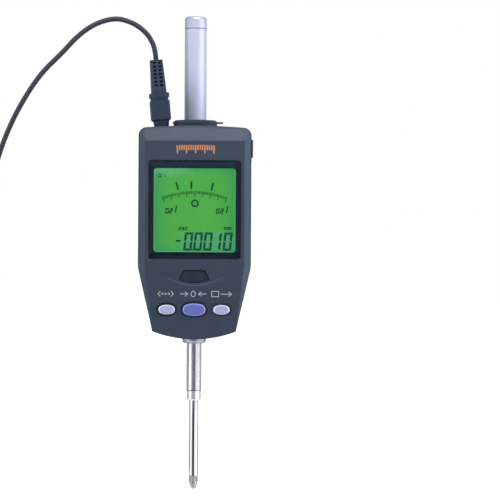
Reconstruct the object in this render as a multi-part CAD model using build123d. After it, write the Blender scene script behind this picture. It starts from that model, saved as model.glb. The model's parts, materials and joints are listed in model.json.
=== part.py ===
from build123d import *
from math import acos, cos, degrees, pi, radians, sin, sqrt, tan
import os

# Digital dial indicator with a backlit display, a plunging spindle and a power lead.
# Millimetres, +Z up, the display faces -Y. The origin is on the spindle's axis, at the
# middle of the clamping stem.

# ---------------------------------------------------------------- driving dimensions
# Stem and spindle
STEM_D = 8.0
STEM_LEN = 25.2
STEM_BORE = 6.4
FLANGE_D = 12.6
FLANGE_H = 2.6
FLANGE_R = 1.4
NECK_D = 10.0
NUT_AF = 14.0
NUT_H = 3.5
SPINDLE_D = 5.0
SPINDLE_SHOWN = 40.1
TRAVEL = 30.4
END_BUSH_D = 7.4
END_BUSH_LEN = 5.1
BEARING_LEN = 12.0
POINT_D = 4.8
POINT_LEN = 7.2
GRIP_LEN = 2.6
NOSE_SHARE = 0.68
BALL_D = 3.0
STUD_D = 2.5
STUD_LEN = 5.0

# Housing
BODY_W = 59.6
BODY_H = 112.7
BODY_DEPTH = 34.0
COVER_DEPTH = 6.0
WALL = 2.4
FRONT_WALL = 2.5
FOOT_W = 44.2
FOOT_RISE = 4.1
WAIST_RISE = 38.1
CROWN_RISE = 1.3
FOOT_R = 0.9
WAIST_R = 14.0
CORNER_R = 4.3
FACE_CORNER_R = 0.7
BEVEL_DEPTH = 3.0
BEVEL_SIDE = 3.65
BEVEL_TOP = 8.05
POCKET_DEPTH = 5.0
POCKET_INSET = 1.2
EDGE_R = 1.6
PAD_D = 16.0
PAD_H = 2.4
SEAL_W = 0.9
SEAL_H = 0.8
BOSS_D = 5.6
BOSS_INSET = 5.6
FOOT_BOSS_INSET = 5.0
FOOT_BOSS_RISE = 3.9
SCREW_D = 2.4
SCREW_HEAD_D = 4.8
SCREW_HEAD_H = 1.8

# Display
WINDOW_SIDE = 5.4
WINDOW_LOW = 42.2
WINDOW_HEAD = 18.4
WINDOW_T = 1.3
WINDOW_R = 1.6
MASK_T = 0.2
MASK_SIDE = 2.8
MASK_END = 3.7
VIEW_R = 1.0
LEDGE = 1.5
LCD_T = 2.3
BACKLIGHT_T = 2.2
LCD_LAP = 0.5
HOLDER_T = 1.0

# Keys and the infrared window
KEY_RISE = 15.6
KEY_PITCH = 14.4
KEY_W = 8.6
KEY_H = 5.1
MAIN_KEY_W = 11.9
MAIN_KEY_H = 6.6
KEY_END = 0.85
KEY_PROUD = 1.2
KEY_TRAVEL = 0.8
KEY_GAP = 0.3
KEY_FLANGE = 1.0
KEY_FLANGE_T = 1.0
MAT_T = 0.8
KEY_EDGE = 0.7
DISH_RIM = 0.9
DISH_DEPTH = 0.4
IR_TOP_W = 11.0
IR_LOW_W = 16.0
IR_H = 4.8
IR_BELLY = 1.4
IR_RISE = 36.1
IR_R = 0.9
IR_RIM = 0.8
IR_GROOVE = 0.3
IR_GROOVE_DEPTH = 0.6
CREASE_HALF = 18.0
CREASE_RISE = 28.55
CREASE_LIFT = 6.8
CREASE_W = 0.5
CREASE_DEPTH = 0.12

# Boards and mechanism
BOARD_T = 1.6
BOARD_GAP = 0.5
BOARD_RISE = 13.0
BOARD_SCREW_DROP = 14.0
CHIP_T = 1.4
MAIN_CHIP = 10.0
SIDE_CHIP = 7.0
SCREW_HEAD_AF = 4.0
HEAD_T = 1.2
CHASSIS_T = 2.0
CHASSIS_GAP = 1.0
ENCODER_BOARD_T = 1.0
ENCODER_CHIP_T = 1.0
CHASSIS_W = 26.0
EAR_T = 3.0
ROD_D = 3.0
ROD_OFFSET = 10.0
HOLDER_H = 8.0
SCALE_W = 6.0
SCALE_T = 1.5
SCALE_SPARE = 7.6
READING_GAP = 0.4
READING_LEN = 10.0
STOP_T = 2.6
SPRING_D = 8.2
SPRING_WIRE = 0.5
SPRING_TURNS = 6

# Side port and its sliding cover
PORT_DROP = 13.15
PORT_LEN = 8.0
PORT_W = 3.6
PORT_Y = -2.0
TRACK_DEPTH = 0.9
TRACK_W = 12.4
LIP_T = 0.35
LIP_W = 0.8
SHUTTER_H = 12.4
SHUTTER_LAP = 2.4
SHUTTER_TRAVEL = 11.0
SHUTTER_PLAIN = 2.7
PLATE_PROUD = 0.2
RIB_COUNT = 10
RIB_PITCH = 0.95
RIB_H = 0.9

# Spindle cover and collar
COLLAR_D = 23.2
COLLAR_H = 3.35
COLLAR_R = 0.9
CLIP_WIRE = 0.95
CLIP_LIFT = 0.4
CLIP_PROUD = 0.45
CLIP_REACH = 3.2
TUBE_D = 11.7
TUBE_WALL = 0.6
TUBE_LEN = 49.15
CAP_H = 6.1
CAP_R = 1.6
BUMPER_T = 1.5
SPIGOT_LEN = 7.0

# Power plug, lead and adapter
PLUG_SHARE = 0.3
PLUG_Y = -3.0
PLUG_LEAN = 5.07
PLUG_TWIST = 8.0
PLUG_SEAT = 0.2
JACK_W = 7.6
JACK_LEN = 13.0
JACK_SINK = 0.9
JACK_BORE = 5.6
JACK_CLEAR = 0.3
BARREL_D = 5.5
BARREL_BORE = 2.1
BARREL_LEN = 9.5
PLUG_NECK_D = 8.6
PLUG_NECK_LOW_D = 7.8
PLUG_NECK_H = 3.3
GRIP_W = 10.2
GRIP_DEPTH = 8.6
GRIP_H = 11.2
GRIP_R = 1.6
GRIP_EDGE = 0.7
PLUG_WAIST_W = 9.2
PLUG_WAIST_H = 1.2
PLUG_FLANGE_H = 2.5
FLANGE_EDGE = 0.4
RELIEF_LEN = 17.7
RELIEF_W = 7.9
RELIEF_END_W = 6.5
RELIEF_FLAT = 1.7
RELIEF_EDGE = 0.9
RELIEF_HOLES = 7
HOLE_PITCH = 2.0
HOLE_OUT = 1.42
HOLE_W = 1.6
HOLE_H = 1.0
HOLE_CORE = 1.8
HOLE_START = 4.05
CORD_D = 2.8
COIL_TURNS_PER_LAYER = 2
COIL_LAYERS = 4
COIL_OUTER_R = 20.0
COIL_GAP = 0.5
TIE_W = 6.0
TIE_T = 0.8
ADAPTER_W = 44.0
ADAPTER_D = 27.0
ADAPTER_L = 58.0
ADAPTER_R = 4.0
BLADE_W = 6.4
BLADE_T = 1.5
BLADE_LEN = 16.0
BLADE_PITCH = 12.7

# Clearances
RUNNING = 0.05
SEAT = 0.03
FACE = 0.1

# ---------------------------------------------------------------- derived places
Z_STEM_LOW = -STEM_LEN / 2
Z_STEM_TOP = STEM_LEN / 2
Z_NOSE = Z_STEM_LOW - END_BUSH_LEN
Z_POINT = Z_NOSE - SPINDLE_SHOWN
Z_TIP = Z_POINT - POINT_LEN
Z_CUP = Z_TIP + BALL_D * 0.54
Z_BODY = Z_STEM_TOP + FLANGE_H
Z_CROWN = Z_BODY + BODY_H
Z_FLOOR = Z_TIP

Y_CHASSIS = NUT_AF / 2 + CHASSIS_GAP
Y_ENCODER_BOARD = Y_CHASSIS + CHASSIS_T
Y_BACK = Y_ENCODER_BOARD + ENCODER_BOARD_T + ENCODER_CHIP_T + FACE + WALL
Y_SPLIT = Y_BACK - COVER_DEPTH
FRONT_REACH = BODY_DEPTH - Y_BACK
Y_FRONT = -FRONT_REACH
Y_BEVEL = Y_FRONT + BEVEL_DEPTH
Y_WALL = Y_FRONT + FRONT_WALL
Y_POCKET = Y_FRONT + POCKET_DEPTH

Z_EAR = Z_BODY + WALL + PAD_H
Z_TOP_EAR = Z_CROWN - WALL - PAD_H
Z_NUT = Z_EAR + EAR_T
Z_TOP_NUT = Z_TOP_EAR - EAR_T - NUT_H

WINDOW_W = BODY_W - 2 * WINDOW_SIDE
WINDOW_H = BODY_H - WINDOW_LOW - WINDOW_HEAD
VIEW_W = WINDOW_W - 2 * MASK_SIDE
VIEW_H = WINDOW_H - 2 * MASK_END
Z_WINDOW = Z_BODY + WINDOW_LOW + WINDOW_H / 2
Y_LEDGE = Y_FRONT + FACE + WINDOW_T + MASK_T
OPEN_W = VIEW_W + 2 * LEDGE
OPEN_H = VIEW_H + 2 * LEDGE
LCD_W = OPEN_W + 2 * LCD_LAP
LCD_H = OPEN_H + 2 * LCD_LAP
Y_BOARD = Y_WALL + LCD_T + BACKLIGHT_T + BOARD_GAP
Y_BOARD_BACK = Y_BOARD + BOARD_T

Y_KEY_BACK = Y_WALL + FACE + KEY_FLANGE_T
Z_KEYS = Z_BODY + KEY_RISE
Z_IR = Z_BODY + IR_RISE
Z_CREASE = Z_BODY + CREASE_RISE

Z_HOLDER = Z_NUT + NUT_H + STOP_T + 0.5
Z_READING = Z_HOLDER + HOLDER_H + TRAVEL
SCALE_LEN = TRAVEL + SCALE_SPARE
Z_COVER_TUBE = Z_CROWN + COLLAR_H
Z_CLIP = Z_CROWN + COLLAR_H / 2 + CLIP_LIFT
Z_CAP = Z_COVER_TUBE + TUBE_LEN
Z_BUMPER = Z_CAP + SEAT
Z_SPINDLE_TOP = Z_BUMPER - 0.3 - TRAVEL
X_SCALE = SPINDLE_D / 2 + 5.0
X_SIDE = BODY_W / 2
Z_PORT = Z_CROWN - PORT_DROP
PLUG_X = -PLUG_SHARE * BODY_W
Z_SHUTTER = Z_PORT + PORT_LEN / 2 + SHUTTER_LAP

X_BOSS = (JACK_W + BOSS_D) / 2 - PLUG_X - JACK_CLEAR
HEAD_BOSS = (X_BOSS, Z_CROWN - BOSS_INSET)
FOOT_BOSS = (FOOT_W / 2 - FOOT_BOSS_INSET, Z_BODY + FOOT_RISE + FOOT_BOSS_RISE)
BOSSES = [(side * x, z) for x, z in (HEAD_BOSS, FOOT_BOSS) for side in (-1, 1)]


# ---------------------------------------------------------------- helpers
def at_depth(y):
    """Sketch plane at depth y, seen from the front: sketch x and y are the part's X and Z."""
    return Plane.XZ.offset(-y)


def slab(sketch, front, back):
    """A front-view sketch made solid between two depths."""
    return extrude(at_depth(back) * sketch, back - front)


def pin(d, front, back, x, z):
    """Cylinder that runs from front to back."""
    return slab(Pos(x, z) * Circle(d / 2), front, back)


def disc(d, low, high, x=0.0, y=0.0):
    """Upright cylinder between two heights."""
    return Pos(x, y, (low + high) / 2) * Cylinder(d / 2, high - low)


def ring(outer, inner, low, high, x=0.0, y=0.0):
    """Upright tube between two heights."""
    return disc(outer, low, high, x, y) - disc(inner, low, high, x, y)


def block(x0, x1, y0, y1, z0, z1):
    """Box between two corners."""
    return Pos((x0 + x1) / 2, (y0 + y1) / 2, (z0 + z1) / 2) * Box(x1 - x0, y1 - y0, z1 - z0)


def turned(points):
    """Solid of revolution about the spindle's axis from a half profile of (radius, height)."""
    return revolve(Plane.XZ * make_face(Polyline(*points, close=True)), Axis.Z)


def rounded(w, h, r):
    """Front-view rectangle with rounded corners."""
    return RectangleRounded(w, h, r)


# ---------------------------------------------------------------- housing
def body_outline(side=0.0, top=0.0, low=0.0, corner=CORNER_R, heel=FOOT_R, crown_rise=CROWN_RISE):
    """Housing seen from the front, drawn in from its sides, top and bottom."""
    foot = FOOT_W / 2 - low
    half = X_SIDE - side
    base = Z_BODY + low
    crown = Z_CROWN - top
    ankle = base + FOOT_RISE
    waist = Z_BODY + WAIST_RISE
    shoulder = crown - crown_rise
    if crown_rise:
        roof = ThreePointArc((half, shoulder), (0, crown), (-half, shoulder))
    else:
        roof = Line((half, shoulder), (-half, shoulder))
    edges = [
        ThreePointArc((-foot, ankle), (0, base), (foot, ankle)),
        Line((foot, ankle), (half, waist)),
        Line((half, waist), (half, shoulder)),
        roof,
        Line((-half, shoulder), (-half, waist)),
        Line((-half, waist), (-foot, ankle)),
    ]
    outline = make_face(edges)
    outline = fillet(outline.vertices().group_by(Axis.Y)[0], heel)
    outline = fillet(outline.vertices().filter_by(lambda v: abs(v.Y - waist) < 0.01), WAIST_R)
    return fillet(outline.vertices().filter_by(lambda v: abs(v.Y - shoulder) < 0.01), corner)


def inner_outline():
    """Inside of the housing's side walls."""
    return body_outline(WALL, WALL, WALL, CORNER_R - WALL, FOOT_R)


def ir_outline(grow=0.0):
    """Infrared window: a low trapezoid with a bulging lower edge."""
    top = IR_TOP_W / 2 + grow
    low = IR_LOW_W / 2 + grow
    z_top = Z_IR + grow
    z_low = Z_IR - IR_H
    z_belly = z_low - IR_BELLY - grow
    edges = [
        Polyline((-low, z_low), (-top, z_top), (top, z_top), (low, z_low)),
        ThreePointArc((low, z_low), (0, z_belly), (-low, z_low)),
    ]
    outline = make_face(edges)
    return fillet(outline.vertices(), IR_R)


def crease_line():
    """Groove that sweeps under the infrared window like a shallow smile."""
    half = CREASE_HALF
    low = Z_CREASE
    path = ThreePointArc((-half, low + CREASE_LIFT), (0, low), (half, low + CREASE_LIFT))
    return trace(path, CREASE_W)


KEYS = {
    "mode_button": (-KEY_PITCH, KEY_W, KEY_H),
    "zero_button": (0.0, MAIN_KEY_W, MAIN_KEY_H),
    "data_button": (KEY_PITCH, KEY_W, KEY_H),
}


def key_sketch(name, grow=0.0):
    """Oval of one key from four tangent arcs, grown on all sides."""
    x, w, h = KEYS[name]
    end = KEY_END * h / 2
    out = w / 2 - end
    flat = (out**2 + (h / 2) ** 2 - end**2) / (h - 2 * end)
    down = flat - h / 2
    share = (end + grow) / (flat - end)
    meet_x = out * (1 + share)
    meet_z = down * share
    side_x = w / 2 + grow
    side_z = h / 2 + grow
    edges = [
        ThreePointArc((-meet_x, meet_z), (0, side_z), (meet_x, meet_z)),
        ThreePointArc((meet_x, meet_z), (side_x, 0), (meet_x, -meet_z)),
        ThreePointArc((meet_x, -meet_z), (0, -side_z), (-meet_x, -meet_z)),
        ThreePointArc((-meet_x, -meet_z), (-side_x, 0), (-meet_x, meet_z)),
    ]
    return Pos(x, Z_KEYS) * make_face(edges)


def track_cut():
    """T-shaped track in the right side for the port's sliding cover, with its port slot."""
    low = Z_SHUTTER - SHUTTER_H - SHUTTER_TRAVEL - FACE
    high = Z_SHUTTER + FACE
    inner = X_SIDE - TRACK_DEPTH
    half = TRACK_W / 2
    wide = block(inner, X_SIDE - LIP_T, PORT_Y - half, PORT_Y + half, low, high)
    mouth = block(inner, X_SIDE + 1, PORT_Y - half + LIP_W, PORT_Y + half - LIP_W, low, high)
    slot = block(
        X_SIDE - 2 * WALL,
        X_SIDE,
        PORT_Y - PORT_W / 2,
        PORT_Y + PORT_W / 2,
        Z_PORT - PORT_LEN / 2,
        Z_PORT + PORT_LEN / 2,
    )
    return wide + mouth + slot


def plug_place(solid):
    """Moves a piece drawn upright at the origin to the leaning socket in the top."""
    return Location((PLUG_X, PLUG_Y, Z_PLUG), (0, -PLUG_LEAN, 0)) * solid


CROWN_R = (X_SIDE**2 + CROWN_RISE**2) / (2 * CROWN_RISE)
Z_PLUG = Z_CROWN - (CROWN_R - sqrt(CROWN_R**2 - PLUG_X**2))


def front_housing():
    """Moulded front shell with its bevelled face, openings, pads and screw bosses."""
    rear = at_depth(Y_BEVEL) * body_outline()
    face = at_depth(Y_FRONT) * body_outline(BEVEL_SIDE, BEVEL_TOP, 0, FACE_CORNER_R, crown_rise=0)
    shell = slab(body_outline(), Y_BEVEL, Y_SPLIT) + loft([rear, face], ruled=True)
    shell -= slab(inner_outline(), Y_POCKET, Y_SPLIT)
    pocket = body_outline(WALL + POCKET_INSET, BEVEL_TOP + WALL, WALL, FACE_CORNER_R, crown_rise=0)
    shell -= slab(pocket, Y_WALL, Y_POCKET)
    pads = disc(PAD_D, Z_BODY + WALL / 2, Z_EAR) + disc(PAD_D, Z_TOP_EAR, Z_CROWN - WALL / 2)
    shell += pads & block(-PAD_D, PAD_D, -PAD_D, Y_SPLIT, Z_BODY, Z_CROWN)
    for x, z in BOSSES:
        shell += pin(BOSS_D, Y_POCKET - WALL / 4, Y_SPLIT, x, z)
        shell -= pin(SCREW_D + 2 * SEAT, -SCREW_D, Y_SPLIT, x, z)
    shell -= slab(Pos(0, Z_WINDOW) * rounded(WINDOW_W, WINDOW_H, WINDOW_R), Y_FRONT, Y_LEDGE)
    shell -= slab(Pos(0, Z_WINDOW) * rounded(OPEN_W, OPEN_H, VIEW_R), Y_LEDGE, Y_WALL)
    shell -= slab(ir_outline(SEAT), Y_FRONT, Y_WALL)
    shell -= slab(ir_outline(IR_GROOVE), Y_FRONT, Y_FRONT + IR_GROOVE_DEPTH)
    shell -= slab(crease_line(), Y_FRONT, Y_FRONT + CREASE_DEPTH)
    for name in KEYS:
        shell -= slab(key_sketch(name, KEY_GAP), Y_FRONT, Y_WALL)
        shell -= slab(key_sketch(name, KEY_GAP + DISH_RIM), Y_FRONT, Y_FRONT + DISH_DEPTH)
    neck = NECK_D + 2 * SEAT
    shell -= disc(neck, Z_BODY - 1, Z_EAR + 1)
    shell -= disc(neck, Z_TOP_EAR - 1, Z_CROWN + 1)
    shell -= plug_place(disc(JACK_W + 2 * FACE, -2 * WALL, WALL))
    shell -= track_cut()
    groove = body_outline(SEAL_W, SEAL_W, SEAL_W) - body_outline(2 * SEAL_W, 2 * SEAL_W, 2 * SEAL_W)
    return shell - slab(groove, Y_SPLIT - SEAL_H, Y_SPLIT)


def housing_seal():
    """Gasket in the groove between the two housing halves."""
    band = body_outline(SEAL_W, SEAL_W, SEAL_W) - body_outline(2 * SEAL_W, 2 * SEAL_W, 2 * SEAL_W)
    return slab(band, Y_SPLIT - SEAL_H, Y_SPLIT)


def rear_cover():
    """Back cover with rounded edges and sunk screw holes in four columns."""
    edge = at_depth(Y_BACK - EDGE_R) * body_outline()
    back = at_depth(Y_BACK) * body_outline(EDGE_R, EDGE_R, EDGE_R, CORNER_R - EDGE_R)
    cover = slab(body_outline(), Y_SPLIT, Y_BACK - EDGE_R) + loft([edge, back], ruled=True)
    cover -= slab(inner_outline(), Y_SPLIT, Y_BACK - WALL)
    for x, z in BOSSES:
        cover += pin(SCREW_HEAD_D + 2.4, Y_SPLIT, Y_BACK - WALL / 2, x, z) & slab(body_outline(), Y_SPLIT, Y_BACK)
        cover -= pin(SCREW_D + 0.4, Y_SPLIT, Y_BACK, x, z)
        cover -= pin(SCREW_HEAD_D + 0.4, Y_BACK - SCREW_HEAD_H - 0.4, Y_BACK, x, z)
    return cover


def rear_cover_screws():
    """Four socket-head screws that hold the rear cover."""
    seat = Y_BACK - SCREW_HEAD_H - 0.4
    screws = []
    for x, z in BOSSES:
        head = pin(SCREW_HEAD_D, seat, seat + SCREW_HEAD_H, x, z)
        socket = slab(Pos(x, z) * RegularPolygon(SCREW_D / 2, 6), seat + SCREW_HEAD_H / 2, Y_BACK)
        screws.append(head + pin(SCREW_D, 0, seat, x, z) - socket)
    return Compound(screws)


# ---------------------------------------------------------------- display
def display_window():
    """Clear window, just below the front face."""
    pane = slab(Pos(0, Z_WINDOW) * rounded(WINDOW_W - 2 * FACE, WINDOW_H - 2 * FACE, WINDOW_R), 0, WINDOW_T)
    return Pos(0, Y_FRONT + FACE, 0) * pane


def window_mask():
    """Dark printed frame behind the window."""
    sheet = rounded(WINDOW_W - 2 * FACE, WINDOW_H - 2 * FACE, WINDOW_R) - rounded(VIEW_W, VIEW_H, VIEW_R)
    return slab(Pos(0, Z_WINDOW) * sheet, Y_LEDGE - MASK_T, Y_LEDGE)


def lcd_panel():
    """Liquid crystal glass, with the lower plate longer for its contacts."""
    front = Pos(0, Z_WINDOW) * Rectangle(LCD_W, LCD_H)
    middle = Y_WALL + LCD_T / 2
    step = Pos(0, Z_WINDOW + 1) * Rectangle(LCD_W, LCD_H - 2)
    return slab(front, Y_WALL, middle) + slab(step, middle, Y_WALL + LCD_T)


def backlight():
    """Light guide behind the liquid crystal glass."""
    front = Y_WALL + LCD_T
    return slab(Pos(0, Z_WINDOW) * Rectangle(LCD_W, LCD_H - 4), front, front + BACKLIGHT_T)


def lcd_holder():
    """Frame that holds the glass and its light guide off the board."""
    gap = 0.1
    inner = Pos(0, Z_WINDOW) * Rectangle(LCD_W + gap, LCD_H + gap)
    outer = Pos(0, Z_WINDOW) * Rectangle(LCD_W + gap + HOLDER_T, LCD_H + gap + HOLDER_T)
    return slab(outer - inner, Y_WALL, Y_BOARD)


def ir_window():
    """Dark infrared window with its retaining rim behind the front wall."""
    return slab(ir_outline(), Y_FRONT - FACE, Y_WALL) + slab(ir_outline(IR_RIM), Y_WALL, Y_WALL + IR_RIM)


def ir_receiver():
    """Infrared receiver on the board, with its sloped lens."""
    z = Z_IR - IR_H / 2
    front = Y_BOARD - IR_H / 2
    can = slab(Pos(0, z) * Rectangle(IR_H + 1, IR_H), front, Y_BOARD)
    lens = loft([at_depth(front) * (Pos(0, z) * Rectangle(3, 3)), at_depth(front - 1) * (Pos(0, z) * Rectangle(2, 2))])
    return can + lens


# ---------------------------------------------------------------- keys
def key(name):
    """Key cap with a softened edge and a flange that stops behind the front wall."""
    cap = slab(key_sketch(name), Y_FRONT - KEY_PROUD, Y_WALL + FACE)
    rim = cap.edges().group_by(Axis.Y)[0]
    cap = chamfer(rim, KEY_EDGE)
    flange = slab(key_sketch(name, KEY_FLANGE), Y_WALL + FACE, Y_KEY_BACK)
    return cap + flange


def key_mat():
    """Rubber mat on the board with one dome under each key, a key's travel behind it."""
    width = 2 * KEY_PITCH + KEY_W
    base = Y_BOARD - MAT_T
    mat = slab(Pos(0, Z_KEYS) * Rectangle(width, MAIN_KEY_H), base, Y_BOARD)
    for x, w, h in KEYS.values():
        mat += slab(Pos(x, Z_KEYS) * Rectangle(w - h / 2, h / 2), Y_KEY_BACK + KEY_TRAVEL + FACE, base)
    return mat


# ---------------------------------------------------------------- boards
def main_board():
    """Printed circuit board behind the display and keys, with its larger chips."""
    z_low = Z_BODY + BOARD_RISE
    z_mid = Z_WINDOW - LCD_H / 2 - 2
    z_top = Z_WINDOW + LCD_H / 2 + 6
    half_low = FOOT_W / 2 - WALL
    half_top = LCD_W / 2 + HOLDER_T
    outline = make_face(
        Polyline(
            (-half_low, z_low),
            (half_low, z_low),
            (half_low, z_mid - 5),
            (half_top, z_mid),
            (half_top, z_top),
            (-half_top, z_top),
            (-half_top, z_mid),
            (-half_low, z_mid - 5),
            close=True,
        )
    )
    board = slab(outline, Y_BOARD, Y_BOARD_BACK)
    out = LCD_W / 4
    up = LCD_H / 4
    for x, z, size in ((0, -up, MAIN_CHIP), (out, up, SIDE_CHIP), (-out, up, SIDE_CHIP)):
        board += slab(Pos(x, Z_WINDOW + z) * Rectangle(size, size), Y_BOARD_BACK, Y_BOARD_BACK + CHIP_T)
    return board


def board_screw_places():
    """Screws in the board's four corners."""
    x_low = FOOT_W / 2 - WALL - 2.4
    x_top = LCD_W / 2 - 2
    z_low = Z_WINDOW - LCD_H / 2 - BOARD_SCREW_DROP
    z_top = Z_WINDOW + LCD_H / 2 + 3.3
    return [(side * x, z) for x, z in ((x_low, z_low), (x_top, z_top)) for side in (-1, 1)]


def screw_head(x, z, back, height=HEAD_T):
    """Hexagon head that sits on a board's back."""
    return slab(Pos(x, z) * RegularPolygon(SCREW_HEAD_AF / 2, 6, major_radius=False), back, back + height)


def board_screws():
    """Heads of the four screws that hold the board to its posts."""
    return Compound([screw_head(x, z, Y_BOARD_BACK) for x, z in board_screw_places()])


def board_posts():
    """Square posts behind the front wall that carry the board."""
    side = SCREW_HEAD_AF
    return [slab(Pos(x, z) * Rectangle(side, side), Y_WALL - WALL / 4, Y_BOARD) for x, z in board_screw_places()]


def data_port():
    """Output connector behind the side slot."""
    inner = X_SIDE - WALL
    z0 = Z_PORT - PORT_LEN / 2 - 0.4
    z1 = Z_PORT + PORT_LEN / 2 + 0.4
    body = block(inner - 5, inner, PORT_Y - PORT_W, PORT_Y + PORT_W, z0, z1)
    mouth = block(inner - 3.4, inner, PORT_Y - PORT_W / 2, PORT_Y + PORT_W / 2, z0 + 0.6, z1 - 0.6)
    tongue = block(inner - 3.4, inner - 0.6, PORT_Y - 0.5, PORT_Y + 0.5, z0 + 1.4, z1 - 1.4)
    return body - mouth + tongue


def port_cover():
    """Ribbed cover that slides down its track to bare the output connector."""
    inner = X_SIDE - TRACK_DEPTH + FACE
    low = Z_SHUTTER - SHUTTER_H
    half = TRACK_W / 2 - FACE
    foot = block(inner, X_SIDE - LIP_T - FACE, PORT_Y - half, PORT_Y + half, low, Z_SHUTTER)
    half -= LIP_W
    plate = block(inner, X_SIDE + PLATE_PROUD, PORT_Y - half, PORT_Y + half, low, Z_SHUTTER)
    cover = foot + plate
    for k in range(RIB_COUNT):
        z = low + SHUTTER_PLAIN + (k + 0.5) * RIB_PITCH
        profile = Polyline(
            (X_SIDE + FACE, z - RIB_PITCH / 2),
            (X_SIDE + PLATE_PROUD + RIB_H, z - RIB_PITCH / 8),
            (X_SIDE + PLATE_PROUD + RIB_H, z + RIB_PITCH / 8),
            (X_SIDE + FACE, z + RIB_PITCH / 2),
            close=True,
        )
        cover += extrude(Plane.XZ.offset(-PORT_Y - half) * make_face(profile), 2 * half)
    return cover


# ---------------------------------------------------------------- stem, bearings and chassis
def stem():
    """Clamping stem with its cup-shaped flange and the neck that passes into the housing."""
    bore = STEM_BORE / 2
    outer = STEM_D / 2
    flange = FLANGE_D / 2
    return turned(
        [
            (bore, Z_STEM_LOW),
            (outer, Z_STEM_LOW),
            (outer, Z_STEM_TOP),
            (flange - FLANGE_R, Z_STEM_TOP),
            (flange - 0.3 * FLANGE_R, Z_STEM_TOP + 0.3 * FLANGE_R),
            (flange, Z_STEM_TOP + FLANGE_R),
            (flange, Z_BODY),
            (NECK_D / 2, Z_BODY),
            (NECK_D / 2, Z_NUT + NUT_H),
            (bore, Z_NUT + NUT_H),
        ]
    )


def stem_end_bush():
    """Nose bush under the stem, with a spigot inside it."""
    bore = SPINDLE_D / 2 + RUNNING
    outer = END_BUSH_D / 2
    spigot = STEM_BORE / 2 - SEAT
    return turned(
        [
            (bore, Z_NOSE),
            (outer - 0.6, Z_NOSE),
            (outer, Z_NOSE + 0.6),
            (outer, Z_STEM_LOW),
            (spigot, Z_STEM_LOW),
            (spigot, Z_STEM_LOW + 2),
            (bore, Z_STEM_LOW + 2),
        ]
    )


def lower_bush():
    """Spindle bearing pressed into the stem."""
    low = Z_STEM_LOW + 2 + FACE
    return ring(STEM_BORE - 2 * SEAT, SPINDLE_D + 2 * RUNNING, low, low + BEARING_LEN)


def hex_nut(bore, low):
    """Thin hexagon nut around the spindle's axis."""
    blank = extrude(Plane.XY.offset(low) * RegularPolygon(NUT_AF / 2, 6, major_radius=False), NUT_H)
    return blank - disc(bore, low - 1, low + NUT_H + 1)


def stem_nut():
    """Nut that clamps the stem's neck to the chassis."""
    return hex_nut(NECK_D + 2 * SEAT, Z_NUT)


def upper_bush():
    """Upper spindle bearing: clamps the collar and carries the spindle cover tube."""
    bore = SPINDLE_D / 2 + RUNNING
    neck = NECK_D / 2
    spigot = TUBE_D / 2 - TUBE_WALL - SEAT
    return turned(
        [
            (bore, Z_TOP_NUT),
            (neck, Z_TOP_NUT),
            (neck, Z_COVER_TUBE),
            (spigot, Z_COVER_TUBE),
            (spigot, Z_COVER_TUBE + SPIGOT_LEN),
            (bore, Z_COVER_TUBE + SPIGOT_LEN),
        ]
    )


def upper_nut():
    """Nut that clamps the upper bush to the chassis."""
    return hex_nut(NECK_D + 2 * SEAT, Z_TOP_NUT)


def chassis():
    """Cast frame: a windowed back plate with an ear at each end, between stem and upper bush."""
    half = CHASSIS_W / 2
    back = Y_CHASSIS + CHASSIS_T
    frame = block(-half, half, Y_CHASSIS, back, Z_EAR, Z_TOP_EAR)
    for low, high in ((Z_EAR, Z_NUT), (Z_TOP_EAR - EAR_T, Z_TOP_EAR)):
        frame += block(-half + 1, half - 1, -PAD_D / 2, Y_CHASSIS, low, high)
        frame -= disc(NECK_D + 2 * SEAT, low - 1, high + 1)
        frame -= disc(ROD_D + 2 * SEAT, low - 1, high + 1, -ROD_OFFSET)
    span = (Z_TOP_EAR - Z_EAR) / 5
    for k in (1, 4):
        frame -= slab(Pos(0, Z_EAR + k * span) * Rectangle(CHASSIS_W / 2, span * 0.9), Y_CHASSIS - 1, back + 1)
    return frame


def guide_rod():
    """Rod that keeps the scale holder from turning."""
    return disc(ROD_D, Z_EAR, Z_TOP_EAR, -ROD_OFFSET)


def lower_stop():
    """Rubber ring that the scale holder rests on."""
    low = Z_NUT + NUT_H
    return ring(NECK_D, SPINDLE_D + 1, low, low + STOP_T)


def encoder_head():
    """Reading head that faces the glass scale, fixed to the chassis."""
    z = Z_READING
    front = scale_face() + READING_GAP
    body = block(X_SCALE - 1, X_SCALE + SCALE_W + 1, front + 1, Y_CHASSIS, z - 2, z + READING_LEN)
    lens = block(X_SCALE, X_SCALE + SCALE_W, front, front + 1, z, z + 6)
    return body + lens


def encoder_board():
    """Small board on the back of the chassis that serves the reading head."""
    half = CHASSIS_W / 2 - 1
    face = Y_ENCODER_BOARD + ENCODER_BOARD_T
    board = block(-half, half, Y_ENCODER_BOARD, face, Z_READING - half, Z_READING + half + HEAD_T)
    return board + block(-half / 2, half / 4, face, face + ENCODER_CHIP_T, Z_READING - half / 2, Z_READING + half / 4)


def encoder_screws():
    """Low heads of the two screws that hold the small board to the chassis."""
    out = CHASSIS_W / 2 - 1 - SCREW_HEAD_AF / 2
    face = Y_ENCODER_BOARD + ENCODER_BOARD_T
    return Compound([screw_head(side * out, Z_READING + out, face, ENCODER_CHIP_T) for side in (-1, 1)])


# ---------------------------------------------------------------- spindle group
def spindle():
    """Hardened spindle, bored at its lower end for the contact point's stud."""
    rod = disc(SPINDLE_D, Z_POINT, Z_SPINDLE_TOP - 1)
    rod = chamfer(rod.edges().sort_by(Axis.Z)[-1], 0.4)
    return rod - disc(STUD_D + 2 * SEAT, Z_POINT, Z_POINT + STUD_LEN + 0.5)


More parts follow.
